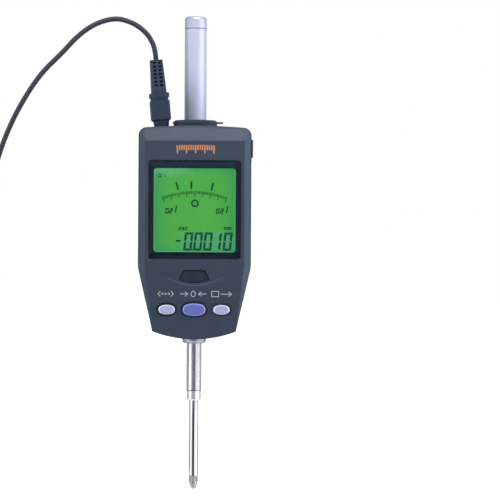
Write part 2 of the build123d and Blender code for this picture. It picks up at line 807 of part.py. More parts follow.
def contact_point():
    """Screwed contact point: straight grip, rounded nose and a cup for the ball."""
    outer = POINT_D / 2
    grip_low = Z_POINT - GRIP_LEN
    nose = grip_low - NOSE_SHARE * (grip_low - Z_CUP)
    return turned(
        [
            (0, Z_CUP),
            (BALL_D / 2 + FACE, Z_CUP),
            ((outer + BALL_D / 2) / 2 + FACE, nose),
            (outer, grip_low),
            (outer, Z_POINT - 0.3),
            (outer - 0.3, Z_POINT),
            (STUD_D / 2, Z_POINT),
            (STUD_D / 2, Z_POINT + STUD_LEN),
            (0, Z_POINT + STUD_LEN),
        ]
    )


def contact_ball():
    """Carbide ball set in the contact point."""
    return Pos(0, 0, Z_TIP + BALL_D / 2) * Sphere(BALL_D / 2) & disc(2 * BALL_D, Z_TIP - 1, Z_CUP)


def scale_face():
    """Depth of the glass scale's back, towards the reading head."""
    return SPINDLE_D / 2 + 1.0


def scale_holder():
    """Clamp on the spindle with a guide arm and a carrier for the glass scale."""
    z0 = Z_HOLDER
    z1 = Z_HOLDER + HOLDER_H
    half = SPINDLE_D / 2 + 2.6
    back = scale_face()
    glass = back - SCALE_T
    right = X_SCALE + SCALE_W
    body = block(-half, half, -half, half, z0, z1)
    body += block(-ROD_OFFSET - ROD_D, -half, -ROD_D, ROD_D, z0, z1)
    body += block(half, right, glass - 2.0, glass, z0, z1)
    body += block(X_SCALE, right, glass - 1.2, glass, z1, z1 + SCALE_LEN)
    body -= disc(SPINDLE_D + 2 * SEAT, z0 - 1, z1 + 1)
    return body - disc(ROD_D + 2 * RUNNING, z0 - 1, z1 + 1, -ROD_OFFSET)


def glass_scale():
    """Glass scale bonded to its carrier."""
    back = scale_face()
    low = Z_HOLDER
    return block(X_SCALE, X_SCALE + SCALE_W, back - SCALE_T, back, low, low + HOLDER_H + SCALE_LEN)


def holder_screw():
    """Clamp screw at the front of the scale holder."""
    face = -SPINDLE_D / 2 - 2.6
    return pin(3.4, face - 1.2, face, 0, Z_HOLDER + HOLDER_H / 2)


def spindle_top_nut():
    """Round nut on the spindle's top end that meets the bumper at full travel."""
    top = Z_SPINDLE_TOP
    return ring(SPINDLE_D + 2.4, SPINDLE_D + 2 * SEAT, top - 4, top - 1) + disc(SPINDLE_D + 2.4, top - 1, top)


# ---------------------------------------------------------------- tubes made of arcs
def joined_arcs(start, start_dir, end, end_dir):
    """Two arcs that meet smoothly and leave start and reach end along the given directions."""
    across = end - start
    both = start_dir + end_dir
    lean = both.dot(across)
    spread = 2 * (1 - start_dir.dot(end_dir))
    reach = (sqrt(lean * lean + spread * across.dot(across)) - lean) / spread
    middle = (start + end + (start_dir - end_dir) * reach) * 0.5
    middle_dir = (end - end_dir * reach) - (start + start_dir * reach)
    return [
        TangentArc(start, middle, tangent=start_dir),
        TangentArc(middle, end, tangent=middle_dir),
    ]


def least_gap(path, width, skip):
    """Least gap between parts of one tube that lie more than skip apart along it."""
    steps = int(path.length / 1.5)
    points = [path.position_at(k / steps) for k in range(steps + 1)]
    apart = int(skip / 1.5) + 1
    near = min((a - b).length for i, a in enumerate(points) for b in points[i + apart :])
    return near - width


def return_spring():
    """Coil spring around the spindle, from the scale holder to the upper nut."""
    low = Z_HOLDER + HOLDER_H + SPRING_WIRE / 2 + FACE
    high = Z_TOP_NUT - SPRING_WIRE / 2 - FACE
    climb = (high - low) / SPRING_TURNS
    path = Pos(0, 0, low) * Helix(climb, high - low, (SPRING_D - SPRING_WIRE) / 2)
    section = Plane(path @ 0, z_dir=path % 0) * Rectangle(SPRING_WIRE, SPRING_WIRE)
    print("return spring gap", round(climb - SPRING_WIRE, 2))
    return sweep(section, path, is_frenet=True)


# ---------------------------------------------------------------- collar, cover tube, cap
def top_collar():
    """Dark ring on top of the housing, grooved for its wire clip."""
    low = Z_CROWN
    high = Z_CROWN + COLLAR_H
    outer = COLLAR_D / 2
    bore = NECK_D / 2 + SEAT
    groove_low = Z_CLIP - CLIP_WIRE / 2
    return turned(
        [
            (bore, low),
            (outer, low),
            (outer, groove_low),
            (outer - CLIP_WIRE, groove_low),
            (outer - CLIP_WIRE, groove_low + CLIP_WIRE),
            (outer, groove_low + CLIP_WIRE),
            (outer - COLLAR_R, high),
            (bore, high),
        ]
    )


def collar_clip():
    """Open wire ring in the collar's groove, with one end turned out to the right."""
    low = Z_CLIP - CLIP_WIRE / 2
    high = Z_CLIP + CLIP_WIRE / 2
    band = ring(COLLAR_D + 2 * CLIP_PROUD, COLLAR_D - 2 * CLIP_WIRE, low, high)
    mouth = block(0, COLLAR_D, -CLIP_WIRE * 1.5, -CLIP_WIRE / 2, low, high)
    tail = block(COLLAR_D / 2 - CLIP_WIRE, COLLAR_D / 2 + CLIP_REACH, -CLIP_WIRE / 2, CLIP_WIRE / 2, low, high)
    return band - mouth + tail


def spindle_cover_tube():
    """Thin tube over the raised spindle."""
    return ring(TUBE_D, TUBE_D - 2 * TUBE_WALL, Z_COVER_TUBE, Z_CAP)


def spindle_cover_cap():
    """Cap on the cover tube, hollow for the bumper."""
    inner = TUBE_D - 2 * TUBE_WALL
    outer = TUBE_D / 2
    plug = inner / 2 - SEAT
    top = Z_CAP + CAP_H
    roof = Z_BUMPER + BUMPER_T
    return turned(
        [
            (0, roof),
            (plug - 1, roof),
            (plug - 1, Z_CAP - 3),
            (plug, Z_CAP - 3),
            (plug, Z_CAP),
            (outer, Z_CAP),
            (outer, top - CAP_R),
            (outer - 0.3 * CAP_R, top - 0.3 * CAP_R),
            (outer - CAP_R, top),
            (0, top),
        ]
    )


def upper_stop():
    """Rubber bumper inside the cap."""
    return disc(TUBE_D - 2 * TUBE_WALL - 2 - 4 * SEAT, Z_BUMPER, Z_BUMPER + BUMPER_T)


# ---------------------------------------------------------------- power plug
def dc_jack():
    """Socket for the power plug, leaning with it."""
    top = -WALL - JACK_SINK
    body = Pos(0, 0, top - JACK_LEN / 2) * Box(JACK_W, JACK_W, JACK_LEN)
    nose = disc(JACK_W, top - 1, -0.4)
    bore = disc(JACK_BORE + 0.2, -WALL - BARREL_LEN, 0)
    centre = disc(BARREL_BORE - 0.2, -WALL - BARREL_LEN, top)
    return plug_place(body + nose - bore + centre)


def plug_barrel():
    """Metal sleeve of the plug, inside the socket."""
    return plug_place(ring(BARREL_D, BARREL_BORE, -BARREL_LEN, 1.0))


def flat_section(w, depth, edge):
    """Eight-sided section of the moulded plug: a rectangle with cut corners."""
    blank = Rectangle(w, depth)
    return chamfer(blank.vertices(), edge)


def plug_grip():
    """Moulded plug body: tapered neck, grip, waist and flange."""
    z1 = PLUG_NECK_H
    z2 = z1 + GRIP_H
    z3 = z2 + PLUG_WAIST_H
    z4 = z3 + PLUG_FLANGE_H
    neck = Cone(PLUG_NECK_LOW_D / 2, PLUG_NECK_D / 2, z1 - PLUG_SEAT)
    body = Pos(0, 0, (z1 + PLUG_SEAT) / 2) * neck
    grip = extrude(Plane.XY.offset(z1) * flat_section(GRIP_W, GRIP_DEPTH, GRIP_R), GRIP_H)
    body += chamfer(grip.edges().group_by(Axis.Z)[0] + grip.edges().group_by(Axis.Z)[-1], GRIP_EDGE)
    waist = flat_section(PLUG_WAIST_W, PLUG_WAIST_W + GRIP_DEPTH - GRIP_W, GRIP_R)
    body += extrude(Plane.XY.offset(z2) * waist, PLUG_WAIST_H)
    flange = extrude(Plane.XY.offset(z3) * flat_section(GRIP_W, GRIP_DEPTH, GRIP_R), z4 - z3)
    body += chamfer(flange.edges().group_by(Axis.Z)[-1], FLANGE_EDGE)
    body = Rot(0, 0, PLUG_TWIST) * body
    return plug_place(body - disc(BARREL_D + 2 * SEAT, 0, 1.0))


def relief_base():
    """Height of the strain relief above the plug's seat."""
    return PLUG_NECK_H + GRIP_H + PLUG_WAIST_H + PLUG_FLANGE_H


def plug_strain_relief():
    """Tapered strain relief above the plug's flange, with two columns of holes front and back."""
    low = flat_section(RELIEF_W, RELIEF_W - RELIEF_FLAT, RELIEF_EDGE)
    high = Pos(0, 0, RELIEF_LEN) * flat_section(RELIEF_END_W, RELIEF_END_W - RELIEF_FLAT, RELIEF_EDGE)
    body = loft([low, high], ruled=True)
    reach = (RELIEF_W - HOLE_CORE) / 2
    for k in range(RELIEF_HOLES):
        for x in (-HOLE_OUT, HOLE_OUT):
            for side in (-1, 1):
                y = side * (HOLE_CORE + reach) / 2
                body -= Pos(x, y, HOLE_START + k * HOLE_PITCH) * Box(HOLE_W, reach, HOLE_H)
    return plug_place(Pos(0, 0, relief_base()) * Rot(0, 0, PLUG_TWIST) * body)


# ---------------------------------------------------------------- cord
# The lead leaves the plug, arches to the left, falls to the floor and runs into its coil.
Z_LAID = Z_FLOOR + CORD_D / 2
COIL_X = -143.0
COIL_Y = 4.0
Z_COIL = Z_LAID + TIE_T
HEX_FLAT = 0.95 * CORD_D
HEX_CORNER = HEX_FLAT / cos(pi / 6)
COIL_STEP = HEX_CORNER + COIL_GAP
ADAPTER_X = -203.0
ADAPTER_Y = 3.0
Z_ADAPTER = Z_FLOOR + ADAPTER_D / 2
ADAPTER_RELIEF_LEN = 9.0
FIRST_RUN = 6.0
FALLING_POINTS = [
    (-24.5, -3.0, 175.4),
    (-28.6, -3.1, 179.7),
    (-34.0, -3.2, 183.1),
    (-42.4, -3.4, 185.5),
    (-53.1, -3.6, 182.6),
    (-62.7, -3.8, 175.9),
    (-71.2, -4.0, 166.3),
    (-81.5, -4.3, 156.4),
    (-89.8, -4.6, 144.2),
    (-98.0, -5.0, 129.0),
    (-105.5, -5.4, 109.0),
    (-110.5, -6.0, 84.0),
    (-112.5, -7.0, 54.0),
    (-112.0, -8.5, 22.0),
    (-112.5, -10.5, -8.0),
    (-112.0, -12.3, -32.0),
    (-114.5, -14.6, -48.5),
    (-121.5, -15.8, -58.6),
    (-132.0, COIL_Y - COIL_OUTER_R, Z_COIL),
]
END_RUN = 10.0
END_POINTS = [
    (-163.0, -13.5, -52.0),
    (-170.0, -6.0, -51.8),
    (-177.0, 0.5, -51.6),
    (-186.0, ADAPTER_Y, Z_ADAPTER),
]


def cord_section():
    """Six-sided section with the round lead's area."""
    return RegularPolygon(HEX_FLAT / 2, 6, major_radius=False)


def lead_tube(name, points):
    """Round lead along straight runs and tangent arcs, each as large as its two runs allow."""
    points = [Vector(*p) for p in points]
    runs = [b - a for a, b in zip(points, points[1:])]
    radii = []
    for before, after in zip(runs, runs[1:]):
        turn = radians(before.get_angle(after))
        radii.append(0.45 * min(before.length, after.length) / tan(turn / 2))
    path = FilletPolyline(*points, radius=radii)
    section = Plane(path @ 0, x_dir=(0, 1, 0), z_dir=path % 0) * cord_section()
    tube = sweep(section, path)
    expected = path.length * cord_section().area
    print(name, "length", round(path.length, 1), "volume ratio", round(tube.volume / expected, 4))
    print(name, "radii", [round(r, 1) for r in radii])
    return tube


def coil_nodes():
    """Radius and height at each half turn: layers spiral in and out and climb between."""
    radius = COIL_OUTER_R
    height = Z_COIL
    nodes = [(radius, height)]
    for layer in range(COIL_LAYERS):
        inward = 1 if layer % 2 else -1
        for _ in range(2 * COIL_TURNS_PER_LAYER):
            radius += inward * COIL_STEP / 2
            nodes.append((radius, height))
        if layer < COIL_LAYERS - 1:
            nodes[-1] = (radius + inward * COIL_STEP / 4, height)
            height += COIL_STEP
            nodes.append((radius + inward * COIL_STEP / 4, height))
        else:
            nodes.append((radius + inward * COIL_STEP / 2, height))
    return nodes


def coil_ends():
    """Where the coil starts and ends, on its front side, both along X."""
    (first_r, first_z), (last_r, last_z) = coil_nodes()[0], coil_nodes()[-1]
    return (COIL_X, COIL_Y - first_r, first_z), (COIL_X, COIL_Y - last_r, last_z)


def cord_coil():
    """Put-away part of the lead: piled loops, wound clockwise, swept from quarter turns."""
    arcs = []
    nodes = coil_nodes()
    for k in range(len(nodes) - 1):
        side = 1 if k % 2 else -1
        start = Vector(COIL_X, COIL_Y + side * nodes[k][0], nodes[k][1])
        end = Vector(COIL_X, COIL_Y - side * nodes[k + 1][0], nodes[k + 1][1])
        arcs += joined_arcs(start, Vector(side, 0, 0), end, Vector(-side, 0, 0))
    path = Wire(arcs)
    coil = sweep(Plane(path @ 0, x_dir=(0, 1, 0), z_dir=path % 0) * cord_section(), path)
    gap = least_gap(path, HEX_CORNER, 4 * CORD_D)
    print("coil length", round(path.length, 1), "turns", (len(nodes) - 1) / 2, "least gap", round(gap, 2))
    return coil


def power_cord():
    """Free lead from the plug to the coil."""
    start = plug_place(Pos(0, 0, relief_base() + RELIEF_LEN) * Sphere(0.1)).center()
    lean = radians(PLUG_LEAN)
    first = start + Vector(-sin(lean), 0, cos(lean)) * FIRST_RUN
    points = [start, first] + FALLING_POINTS + [coil_ends()[0]]
    return lead_tube("power_cord", points)


def adapter_lead():
    """Short free lead from the coil to the adapter."""
    x, y, z = coil_ends()[1]
    end = (ADAPTER_X + ADAPTER_RELIEF_LEN, ADAPTER_Y, Z_ADAPTER)
    points = [(x, y, z), (x - END_RUN, y, z)] + END_POINTS + [end]
    return lead_tube("adapter_lead", points)


def cord_tie():
    """Strap around the coil's bundle on its right side."""
    radii = [r for r, _ in coil_nodes()]
    sag = 0.5
    x0 = COIL_X + min(radii) - HEX_CORNER / 2 - sag
    x1 = COIL_X + max(radii) + HEX_CORNER / 2 + 0.1
    z0 = Z_COIL - HEX_FLAT / 2 - 0.05
    z1 = coil_nodes()[-1][1] + HEX_CORNER / 2 + 0.1
    y0 = COIL_Y - TIE_W / 2
    y1 = COIL_Y + TIE_W / 2
    outer = block(x0 - TIE_T, x1 + TIE_T, y0, y1, z0 - TIE_T + 0.05, z1 + TIE_T)
    outer = fillet(outer.edges().filter_by(Axis.Y), TIE_T)
    return outer - block(x0, x1, y0 - 1, y1 + 1, z0, z1)


# ---------------------------------------------------------------- mains adapter
def adapter_shell(low, high):
    """One half of the adapter's case, between two heights."""
    x1 = ADAPTER_X
    x0 = ADAPTER_X - ADAPTER_L
    half = ADAPTER_W / 2
    box = block(x0, x1, ADAPTER_Y - half, ADAPTER_Y + half, low, high)
    return fillet(box.edges().filter_by(Axis.Z), ADAPTER_R)


def adapter_case():
    """Lower half of the adapter, lying on the floor."""
    low = Z_FLOOR
    half = adapter_shell(low, Z_ADAPTER + 3)
    half = chamfer(half.edges().group_by(Axis.Z)[0], 1.2)
    return half - relief_seat()


def adapter_lid():
    """Upper half of the adapter, which carries the blades."""
    half = adapter_shell(Z_ADAPTER + 3, Z_FLOOR + ADAPTER_D)
    half = chamfer(half.edges().group_by(Axis.Z)[-1], 1.2)
    return half - relief_seat()


def relief_seat():
    """Hole in the adapter's end for its strain relief."""
    return Pos(ADAPTER_X - 2, ADAPTER_Y, Z_ADAPTER) * Rot(0, 90, 0) * Cylinder(3.6 + SEAT, 4 + 0.02)


def adapter_strain_relief():
    """Tapered relief at the adapter's end."""
    body = loft([Circle(3.4), Pos(0, 0, ADAPTER_RELIEF_LEN) * Circle(CORD_D / 2 + 0.7)])
    body += Pos(0, 0, -2) * Cylinder(3.6, 4)
    return Pos(ADAPTER_X, ADAPTER_Y, Z_ADAPTER) * Rot(0, 90, 0) * body


def adapter_blades():
    """Two flat mains blades."""
    x = ADAPTER_X - ADAPTER_L * 0.6
    z = Z_FLOOR + ADAPTER_D
    blades = []
    for side in (-1, 1):
        y = ADAPTER_Y + side * BLADE_PITCH / 2
        blade = block(x - BLADE_W / 2, x + BLADE_W / 2, y - BLADE_T / 2, y + BLADE_T / 2, z, z + BLADE_LEN)
        blade = chamfer(blade.edges().group_by(Axis.Z)[-1].filter_by(Axis.Y), 1.5)
        hole = Pos(x, y, z + BLADE_LEN - 4.2) * Rot(90, 0, 0) * Cylinder(1.6, 2 * BLADE_T)
        blades.append(blade - hole)
    return Compound(blades)


# ---------------------------------------------------------------- all nodes
def housing_with_posts():
    """Front housing together with the posts that carry the board."""
    shell = front_housing()
    for post in board_posts():
        shell += post
    return shell


MAKERS = {
    "front_housing": housing_with_posts,
    "rear_cover": rear_cover,
    "housing_seal": housing_seal,
    "rear_cover_screws": rear_cover_screws,
    "display_window": display_window,
    "window_mask": window_mask,
    "lcd_panel": lcd_panel,
    "backlight": backlight,
    "lcd_holder": lcd_holder,
    "ir_window": ir_window,
    "ir_receiver": ir_receiver,
    "main_board": main_board,
    "board_screws": board_screws,
    "key_mat": key_mat,
    "data_port": data_port,
    "port_cover": port_cover,
    "chassis": chassis,
    "guide_rod": guide_rod,
    "stem": stem,
    "stem_nut": stem_nut,
    "stem_end_bush": stem_end_bush,
    "lower_bush": lower_bush,
    "upper_bush": upper_bush,
    "upper_nut": upper_nut,
    "lower_stop": lower_stop,
    "upper_stop": upper_stop,
    "encoder_head": encoder_head,
    "encoder_board": encoder_board,
    "encoder_screws": encoder_screws,
    "spindle": spindle,
    "contact_point": contact_point,
    "contact_ball": contact_ball,
    "scale_holder": scale_holder,
    "glass_scale": glass_scale,
    "holder_screw": holder_screw,
    "spindle_top_nut": spindle_top_nut,
    "return_spring": return_spring,
    "top_collar": top_collar,
    "collar_clip": collar_clip,
    "spindle_cover_tube": spindle_cover_tube,
    "spindle_cover_cap": spindle_cover_cap,
    "dc_jack": dc_jack,
    "plug_barrel": plug_barrel,
    "plug_grip": plug_grip,
    "plug_strain_relief": plug_strain_relief,
    "power_cord": power_cord,
    "cord_coil": cord_coil,
    "cord_tie": cord_tie,
    "adapter_lead": adapter_lead,
    "adapter_strain_relief": adapter_strain_relief,
    "adapter_case": adapter_case,
    "adapter_lid": adapter_lid,
    "adapter_blades": adapter_blades,
}

os.makedirs("parts", exist_ok=True)
for name in KEYS:
    export_step(key(name), f"parts/{name}.step")
for name, make in MAKERS.items():
    export_step(make(), f"parts/{name}.step")
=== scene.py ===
import json
import math

import bmesh
import bpy
from mathutils import Matrix, Vector
from mathutils.geometry import convex_hull_2d


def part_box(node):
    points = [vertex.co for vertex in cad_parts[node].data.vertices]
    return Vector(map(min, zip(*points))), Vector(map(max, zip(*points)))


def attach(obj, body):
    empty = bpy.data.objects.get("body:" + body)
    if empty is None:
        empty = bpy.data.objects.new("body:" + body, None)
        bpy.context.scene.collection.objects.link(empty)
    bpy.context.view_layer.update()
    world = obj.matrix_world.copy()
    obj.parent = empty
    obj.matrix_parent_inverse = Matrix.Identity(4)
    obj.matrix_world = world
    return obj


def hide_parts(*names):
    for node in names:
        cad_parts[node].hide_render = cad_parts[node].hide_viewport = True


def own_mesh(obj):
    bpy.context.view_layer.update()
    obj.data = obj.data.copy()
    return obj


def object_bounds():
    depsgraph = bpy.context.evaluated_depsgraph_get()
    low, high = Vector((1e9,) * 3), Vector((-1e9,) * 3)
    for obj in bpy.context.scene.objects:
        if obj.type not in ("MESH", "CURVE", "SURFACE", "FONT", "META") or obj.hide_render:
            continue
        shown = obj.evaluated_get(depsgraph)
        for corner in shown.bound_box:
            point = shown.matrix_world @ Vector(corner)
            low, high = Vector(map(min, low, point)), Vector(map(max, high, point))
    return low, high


bl_info = {
    "name": "Digital dial indicator",
    "version": (1, 0, 0),
    "blender": (4, 5, 0),
    "location": "View3D > Sidebar > Indicator",
    "description": "Finishes, display, markings, lead and studio for a digital dial indicator",
    "category": "Object",
}

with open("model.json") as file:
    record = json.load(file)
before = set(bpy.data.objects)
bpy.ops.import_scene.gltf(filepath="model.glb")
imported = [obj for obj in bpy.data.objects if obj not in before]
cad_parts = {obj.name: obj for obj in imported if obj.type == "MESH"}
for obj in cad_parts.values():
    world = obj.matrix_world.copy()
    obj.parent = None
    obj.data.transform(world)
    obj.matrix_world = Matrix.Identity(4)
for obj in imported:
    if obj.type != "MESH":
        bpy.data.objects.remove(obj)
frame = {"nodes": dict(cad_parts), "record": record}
NODES = frame["nodes"]
CAD_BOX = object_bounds()
MM = 0.001


def linear(red, green, blue):
    """Scene-linear colour of a screen colour given in 0 to 255."""
    return tuple(
        c / 255 / 12.92 if c <= 10 else ((c / 255 + 0.055) / 1.055) ** 2.4 for c in (red, green, blue)
    )


def scaled(colour, factor):
    return tuple(c * factor for c in colour)


def corners(name):
    """Lowest and highest corner of a node's box, in millimetres."""
    return [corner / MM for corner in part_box(name)]


# ---------------- node trees
class Wire:
    """An output socket whose arithmetic adds Math nodes to its tree."""

    def __init__(self, board, socket):
        self.board = board
        self.socket = socket

    def __abs__(self):
        return self.board.math("ABSOLUTE", self)


ARITHMETIC = {"add": "ADD", "sub": "SUBTRACT", "mul": "MULTIPLY", "truediv": "DIVIDE", "pow": "POWER"}
for sign, operation in ARITHMETIC.items():
    setattr(Wire, f"__{sign}__", lambda a, b, kind=operation: a.board.math(kind, a, b))
    setattr(Wire, f"__r{sign}__", lambda a, b, kind=operation: a.board.math(kind, b, a))


class Board:
    """Adds nodes to one tree."""

    def __init__(self, tree):
        self.tree = tree

    def node(self, kind, settings=(), inputs=(), output=0):
        """One node with its settings made first, its inputs filled, and one output taken."""
        node = self.tree.nodes.new(kind)
        for name, value in dict(settings).items():
            setattr(node, name, value)
        for key, value in dict(inputs).items():
            if isinstance(value, Wire):
                self.tree.links.new(value.socket, node.inputs[key])
            else:
                node.inputs[key].default_value = value
        return Wire(self, node.outputs[output]) if node.outputs else node

    def outputs(self, kind, inputs=()):
        """Every output of one node, by name."""
        sockets = self.node(kind, {}, inputs).socket.node.outputs
        return {socket.name: Wire(self, socket) for socket in sockets}

    def math(self, operation, *values):
        return self.node("ShaderNodeMath", {"operation": operation}, dict(enumerate(values)))

    def vector_math(self, operation, *values, **named):
        inputs = {**dict(enumerate(values)), **named}
        return self.node("ShaderNodeVectorMath", {"operation": operation}, inputs)

    def length(self, vector):
        return self.node("ShaderNodeVectorMath", {"operation": "LENGTH"}, {0: vector}, output="Value")

    def turned(self, vector, axis, angle):
        inputs = {"Vector": vector, "Angle": angle}
        return self.node("ShaderNodeVectorRotate", {"rotation_type": axis}, inputs)

    def clamped(self, value):
        return self.node("ShaderNodeClamp", {}, {"Value": value})

    def step(self, value, low, high):
        """0 below low, 1 above high and smooth in between."""
        return self.node(
            "ShaderNodeMapRange",
            {"interpolation_type": "SMOOTHSTEP"},
            {"Value": value, "From Min": low, "From Max": high},
        )

    def fall(self, value, low, high):
        """1 below low, 0 above high and smooth in between."""
        return self.step(value * -1, -high, -low)

    def band(self, value, rise, fall):
        """0 outside and 1 inside a band, whose two edges are pairs of values."""
        return self.step(value, *rise) * self.fall(value, *fall)

    def blend(self, factor, first, second):
        """Colour mix."""
        inputs = {
            0: factor,
            6: first if isinstance(first, Wire) else (*first, 1.0),
            7: second if isinstance(second, Wire) else (*second, 1.0),
        }
        return self.node("ShaderNodeMix", {"data_type": "RGBA"}, inputs, output=2)

    def layered(self, base, *layers):
        """Colour with others laid over it, each as a mask and its colour."""
        for mask, colour in layers:
            base = self.blend(mask, base, colour)
        return base

    def axes(self, vector):
        """X, Y and Z of a vector."""
        return self.outputs("ShaderNodeSeparateXYZ", {0: vector}).values()

    def join(self, x, y, z):
        return self.node("ShaderNodeCombineXYZ", {}, {0: x, 1: y, 2: z})


class Finish(Board):
    """One material, with places measured in millimetres on the object."""

    def __init__(self, name):
        self.material = bpy.data.materials.new(name)
        self.material.use_nodes = True
        super().__init__(self.material.node_tree)
        self.tree.nodes.clear()
        place = self.node("ShaderNodeTexCoord", output="Object")
        self.place = self.vector_math("SCALE", place, Scale=1 / MM)
        self.x, self.y, self.z = self.axes(self.place)

    def noise(self, scale, detail=2.0, roughness=0.5, stretch=None):
        """Noise from 0 to 1, with scale features to the millimetre."""
        place = self.place
        if stretch:
            place = self.vector_math("MULTIPLY", place, stretch)
        inputs = {"Vector": place, "Scale": scale, "Detail": detail, "Roughness": roughness}
        return self.node("ShaderNodeTexNoise", {}, inputs)

    def spread(self, value, low, high):
        """Noise value brought to a range."""
        inputs = {"Value": value, "From Min": 0.25, "From Max": 0.75, "To Min": low, "To Max": high}
        return self.node("ShaderNodeMapRange", {}, inputs)

    def mottle(self, factor, colour, low, high):
        """Colour that varies between two shares of itself."""
        return self.blend(factor, scaled(colour, low), scaled(colour, high))

    def bump(self, height, depth, normal=None):
        """Bump whose height of 1 stands depth millimetres proud."""
        inputs = {"Height": height, "Distance": depth * MM, "Strength": 1.0}
        if normal:
            inputs["Normal"] = normal
        return self.node("ShaderNodeBump", {}, inputs)

    def surface(self, colour, roughness, normal=None, gloss=0.5, **more):
        """Principled surface as the material's result; names use _ for spaces."""
        inputs = {name.replace("_", " "): value for name, value in more.items()}
        inputs.update({"Base Color": colour, "Roughness": roughness, "Specular IOR Level": gloss})
        if normal:
            inputs["Normal"] = normal
        return self.result(self.node("ShaderNodeBsdfPrincipled", {}, inputs))

    def result(self, shader):
        self.node("ShaderNodeOutputMaterial", {}, {"Surface": shader})
        return self.material


# ---------------- finishes
# Places in millimetres. A pair is where an edge begins and where it ends.
# Housing, with painted highlights and painted shade
CREASE_HALF = 18.0
CREASE_LIFT = 6.8
CREASE_Z = 43.75
CREASE_EDGE = (0.12, 0.5)
WELL_DEPTHS = ((0.06, 0.2), (2.3, 2.4))
WELL_Z = (4.7, 4.9)
WELL_X = (20.4, 20.6)
SLOPE_LIGHT_DEPTHS = ((0.2, 0.5), (3.1, 3.3))
SLOPE_LIGHT_X = (-22.0, 20.0)
RIM_DEPTHS = ((2.35, 2.8), (3.2, 3.5))
GROOVE_X = (9.0, 9.2)
HELD_X = (24.0, 30.0)
# Cover tube with its painted shade and highlight, contact point, glass scale and bright edges
FOOT_REACH = 20.0
SHADE_STREAK_X = ((-5.8, -3.2), (-2.0, 3.5))
KNURL_LEAD = 2.4
KNURL_ROWS = 7.0
RULED_PITCH = 0.4
PALE_EDGE = (0.95, 0.95, 1.0)
# Plug
PLUG_FOOT = (-17.88, -3.0, 127.43)
PLUG_LEAN = math.radians(5.07)
PLUG_TWIST = math.radians(8.0)
SLOT_X = (2.4, 2.5)
SLOT_Y = (2.25, 2.45)
SLOT_Z = ((19.0, 19.3), (35.0, 35.4))
# Display
OPENING_W = 43.2
OPENING_H = 44.7
DISPLAY_CORNER = 1.6
DISPLAY_DROP = 0.22
DIGITS_Z = -16.7
UNLIT_MIDDLE = 7.1
UNLIT_X = (12.4, 15.2)
UNLIT_Z = (4.0, 5.8)
# Infrared window
IR_TOP_W = 11.0
IR_LOW_W = 16.0
IR_H = 4.8
IR_RIM = 0.8
IR_CURVE = 23.6


def moulded(name, colour, roughness=0.45, grain=0.006, fineness=5.0, gloss=0.5):
    """Moulded plastic with a fine eroded grain and a faint unevenness of colour and gloss."""
    f = Finish(name)
    cloud = f.noise(0.12, detail=3.0)
    fine = f.noise(fineness, detail=2.0, roughness=0.6)
    base = f.mottle(cloud, colour, 0.94, 1.06)
    base = f.blend(f.step(fine, 0.62, 0.8) * 0.25, base, scaled(colour, 1.5))
    rough = f.spread(cloud, roughness - 0.04, roughness + 0.05)
    return f.surface(base, rough, f.bump(fine, grain), gloss=gloss)


def housing_finish(name, colour):
    """The case: grained plastic, rubbed smoother on its sides, with a painted highlight along a crease,
    painted shade in the key wells and round the infrared window, and bevels painted lighter towards the
    right.
    """
    f = Finish(name)
    cloud = f.noise(0.09, detail=4.0)
    fine = f.noise(4.2, detail=3.0, roughness=0.65)
    depth = f.y - corners("front_housing")[0].y
    radius = (CREASE_HALF**2 + CREASE_LIFT**2) / (2 * CREASE_LIFT)
    rise = f.z - (CREASE_Z + radius)
    off = abs((f.x * f.x + rise * rise) ** 0.5 - radius)
    # Painted highlight: a pale line where a step in the face would catch the light.
    crease_highlight = f.fall(off, *CREASE_EDGE) * f.fall(abs(f.x), CREASE_HALF * 0.45, CREASE_HALF)
    crease_highlight = crease_highlight * f.fall(rise, -1.0, 0.0) * f.fall(depth, 0.2, 0.3)
    low, high = corners("zero_button")
    key_z = (low.z + high.z) / 2
    # Painted shade in the wells round the keys.
    well_shade = f.band(depth, *WELL_DEPTHS)
    well_shade = well_shade * f.fall(abs(f.z - key_z), *WELL_Z) * f.fall(abs(f.x), *WELL_X)
    low, high = corners("ir_window")
    # Painted shade in the recess round the infrared window.
    groove_shade = f.step(depth, 0.15, 0.3) * f.fall(abs(f.x), *GROOVE_X)
    groove_shade = groove_shade * f.band(f.z, (low.z - 0.2, low.z), (high.z, high.z + 0.2))
    base = f.layered(
        f.mottle(cloud, colour, 0.93, 1.07),
        (f.step(fine, 0.6, 0.8) * 0.25, scaled(colour, 1.4)),
        (crease_highlight * 0.85, scaled(colour, 2.1)),
        (well_shade, linear(13, 20, 58)),
        # Painted light: the bevels lighter towards the right.
        (f.band(depth, *SLOPE_LIGHT_DEPTHS) * f.step(f.x, *SLOPE_LIGHT_X), scaled(colour, 1.2)),
        (f.band(depth, *RIM_DEPTHS) * 0.9, linear(22, 25, 38)),
        (groove_shade, linear(14, 22, 36)),
    )
    held = f.step(abs(f.x), *HELD_X) * f.step(f.noise(0.2, detail=5.0), 0.4, 0.7)
    rough = f.spread(cloud, 0.44, 0.52) - held * 0.1
    edges = f.node("ShaderNodeBevel", {"samples": 6}, {"Radius": 0.45 * MM})
    return f.surface(base, rough, f.bump(fine, 0.008, normal=edges), gloss=0.45)


def key_finish(name, colour, rim):
    """Smooth key plastic with a painted highlight on its rim and painted shade on its skirt."""
    f = Finish(name)
    depth = f.y - corners("mode_button")[0].y
    cloud = f.noise(0.4, detail=2.0)
    base = f.layered(
        f.mottle(cloud, colour, 0.96, 1.04),
        # Painted highlight on the rim, where its rounding would catch the light.
        (f.step(depth, 0.02, 0.3), rim),
        # Painted shade on the skirt, in the gap next to the housing.
        (f.step(depth, 0.95, 1.25), linear(30, 36, 92)),
    )
    rough = f.spread(cloud, 0.38, 0.46)
    return f.surface(base, rough, f.bump(f.noise(9.0), 0.002), gloss=0.35)


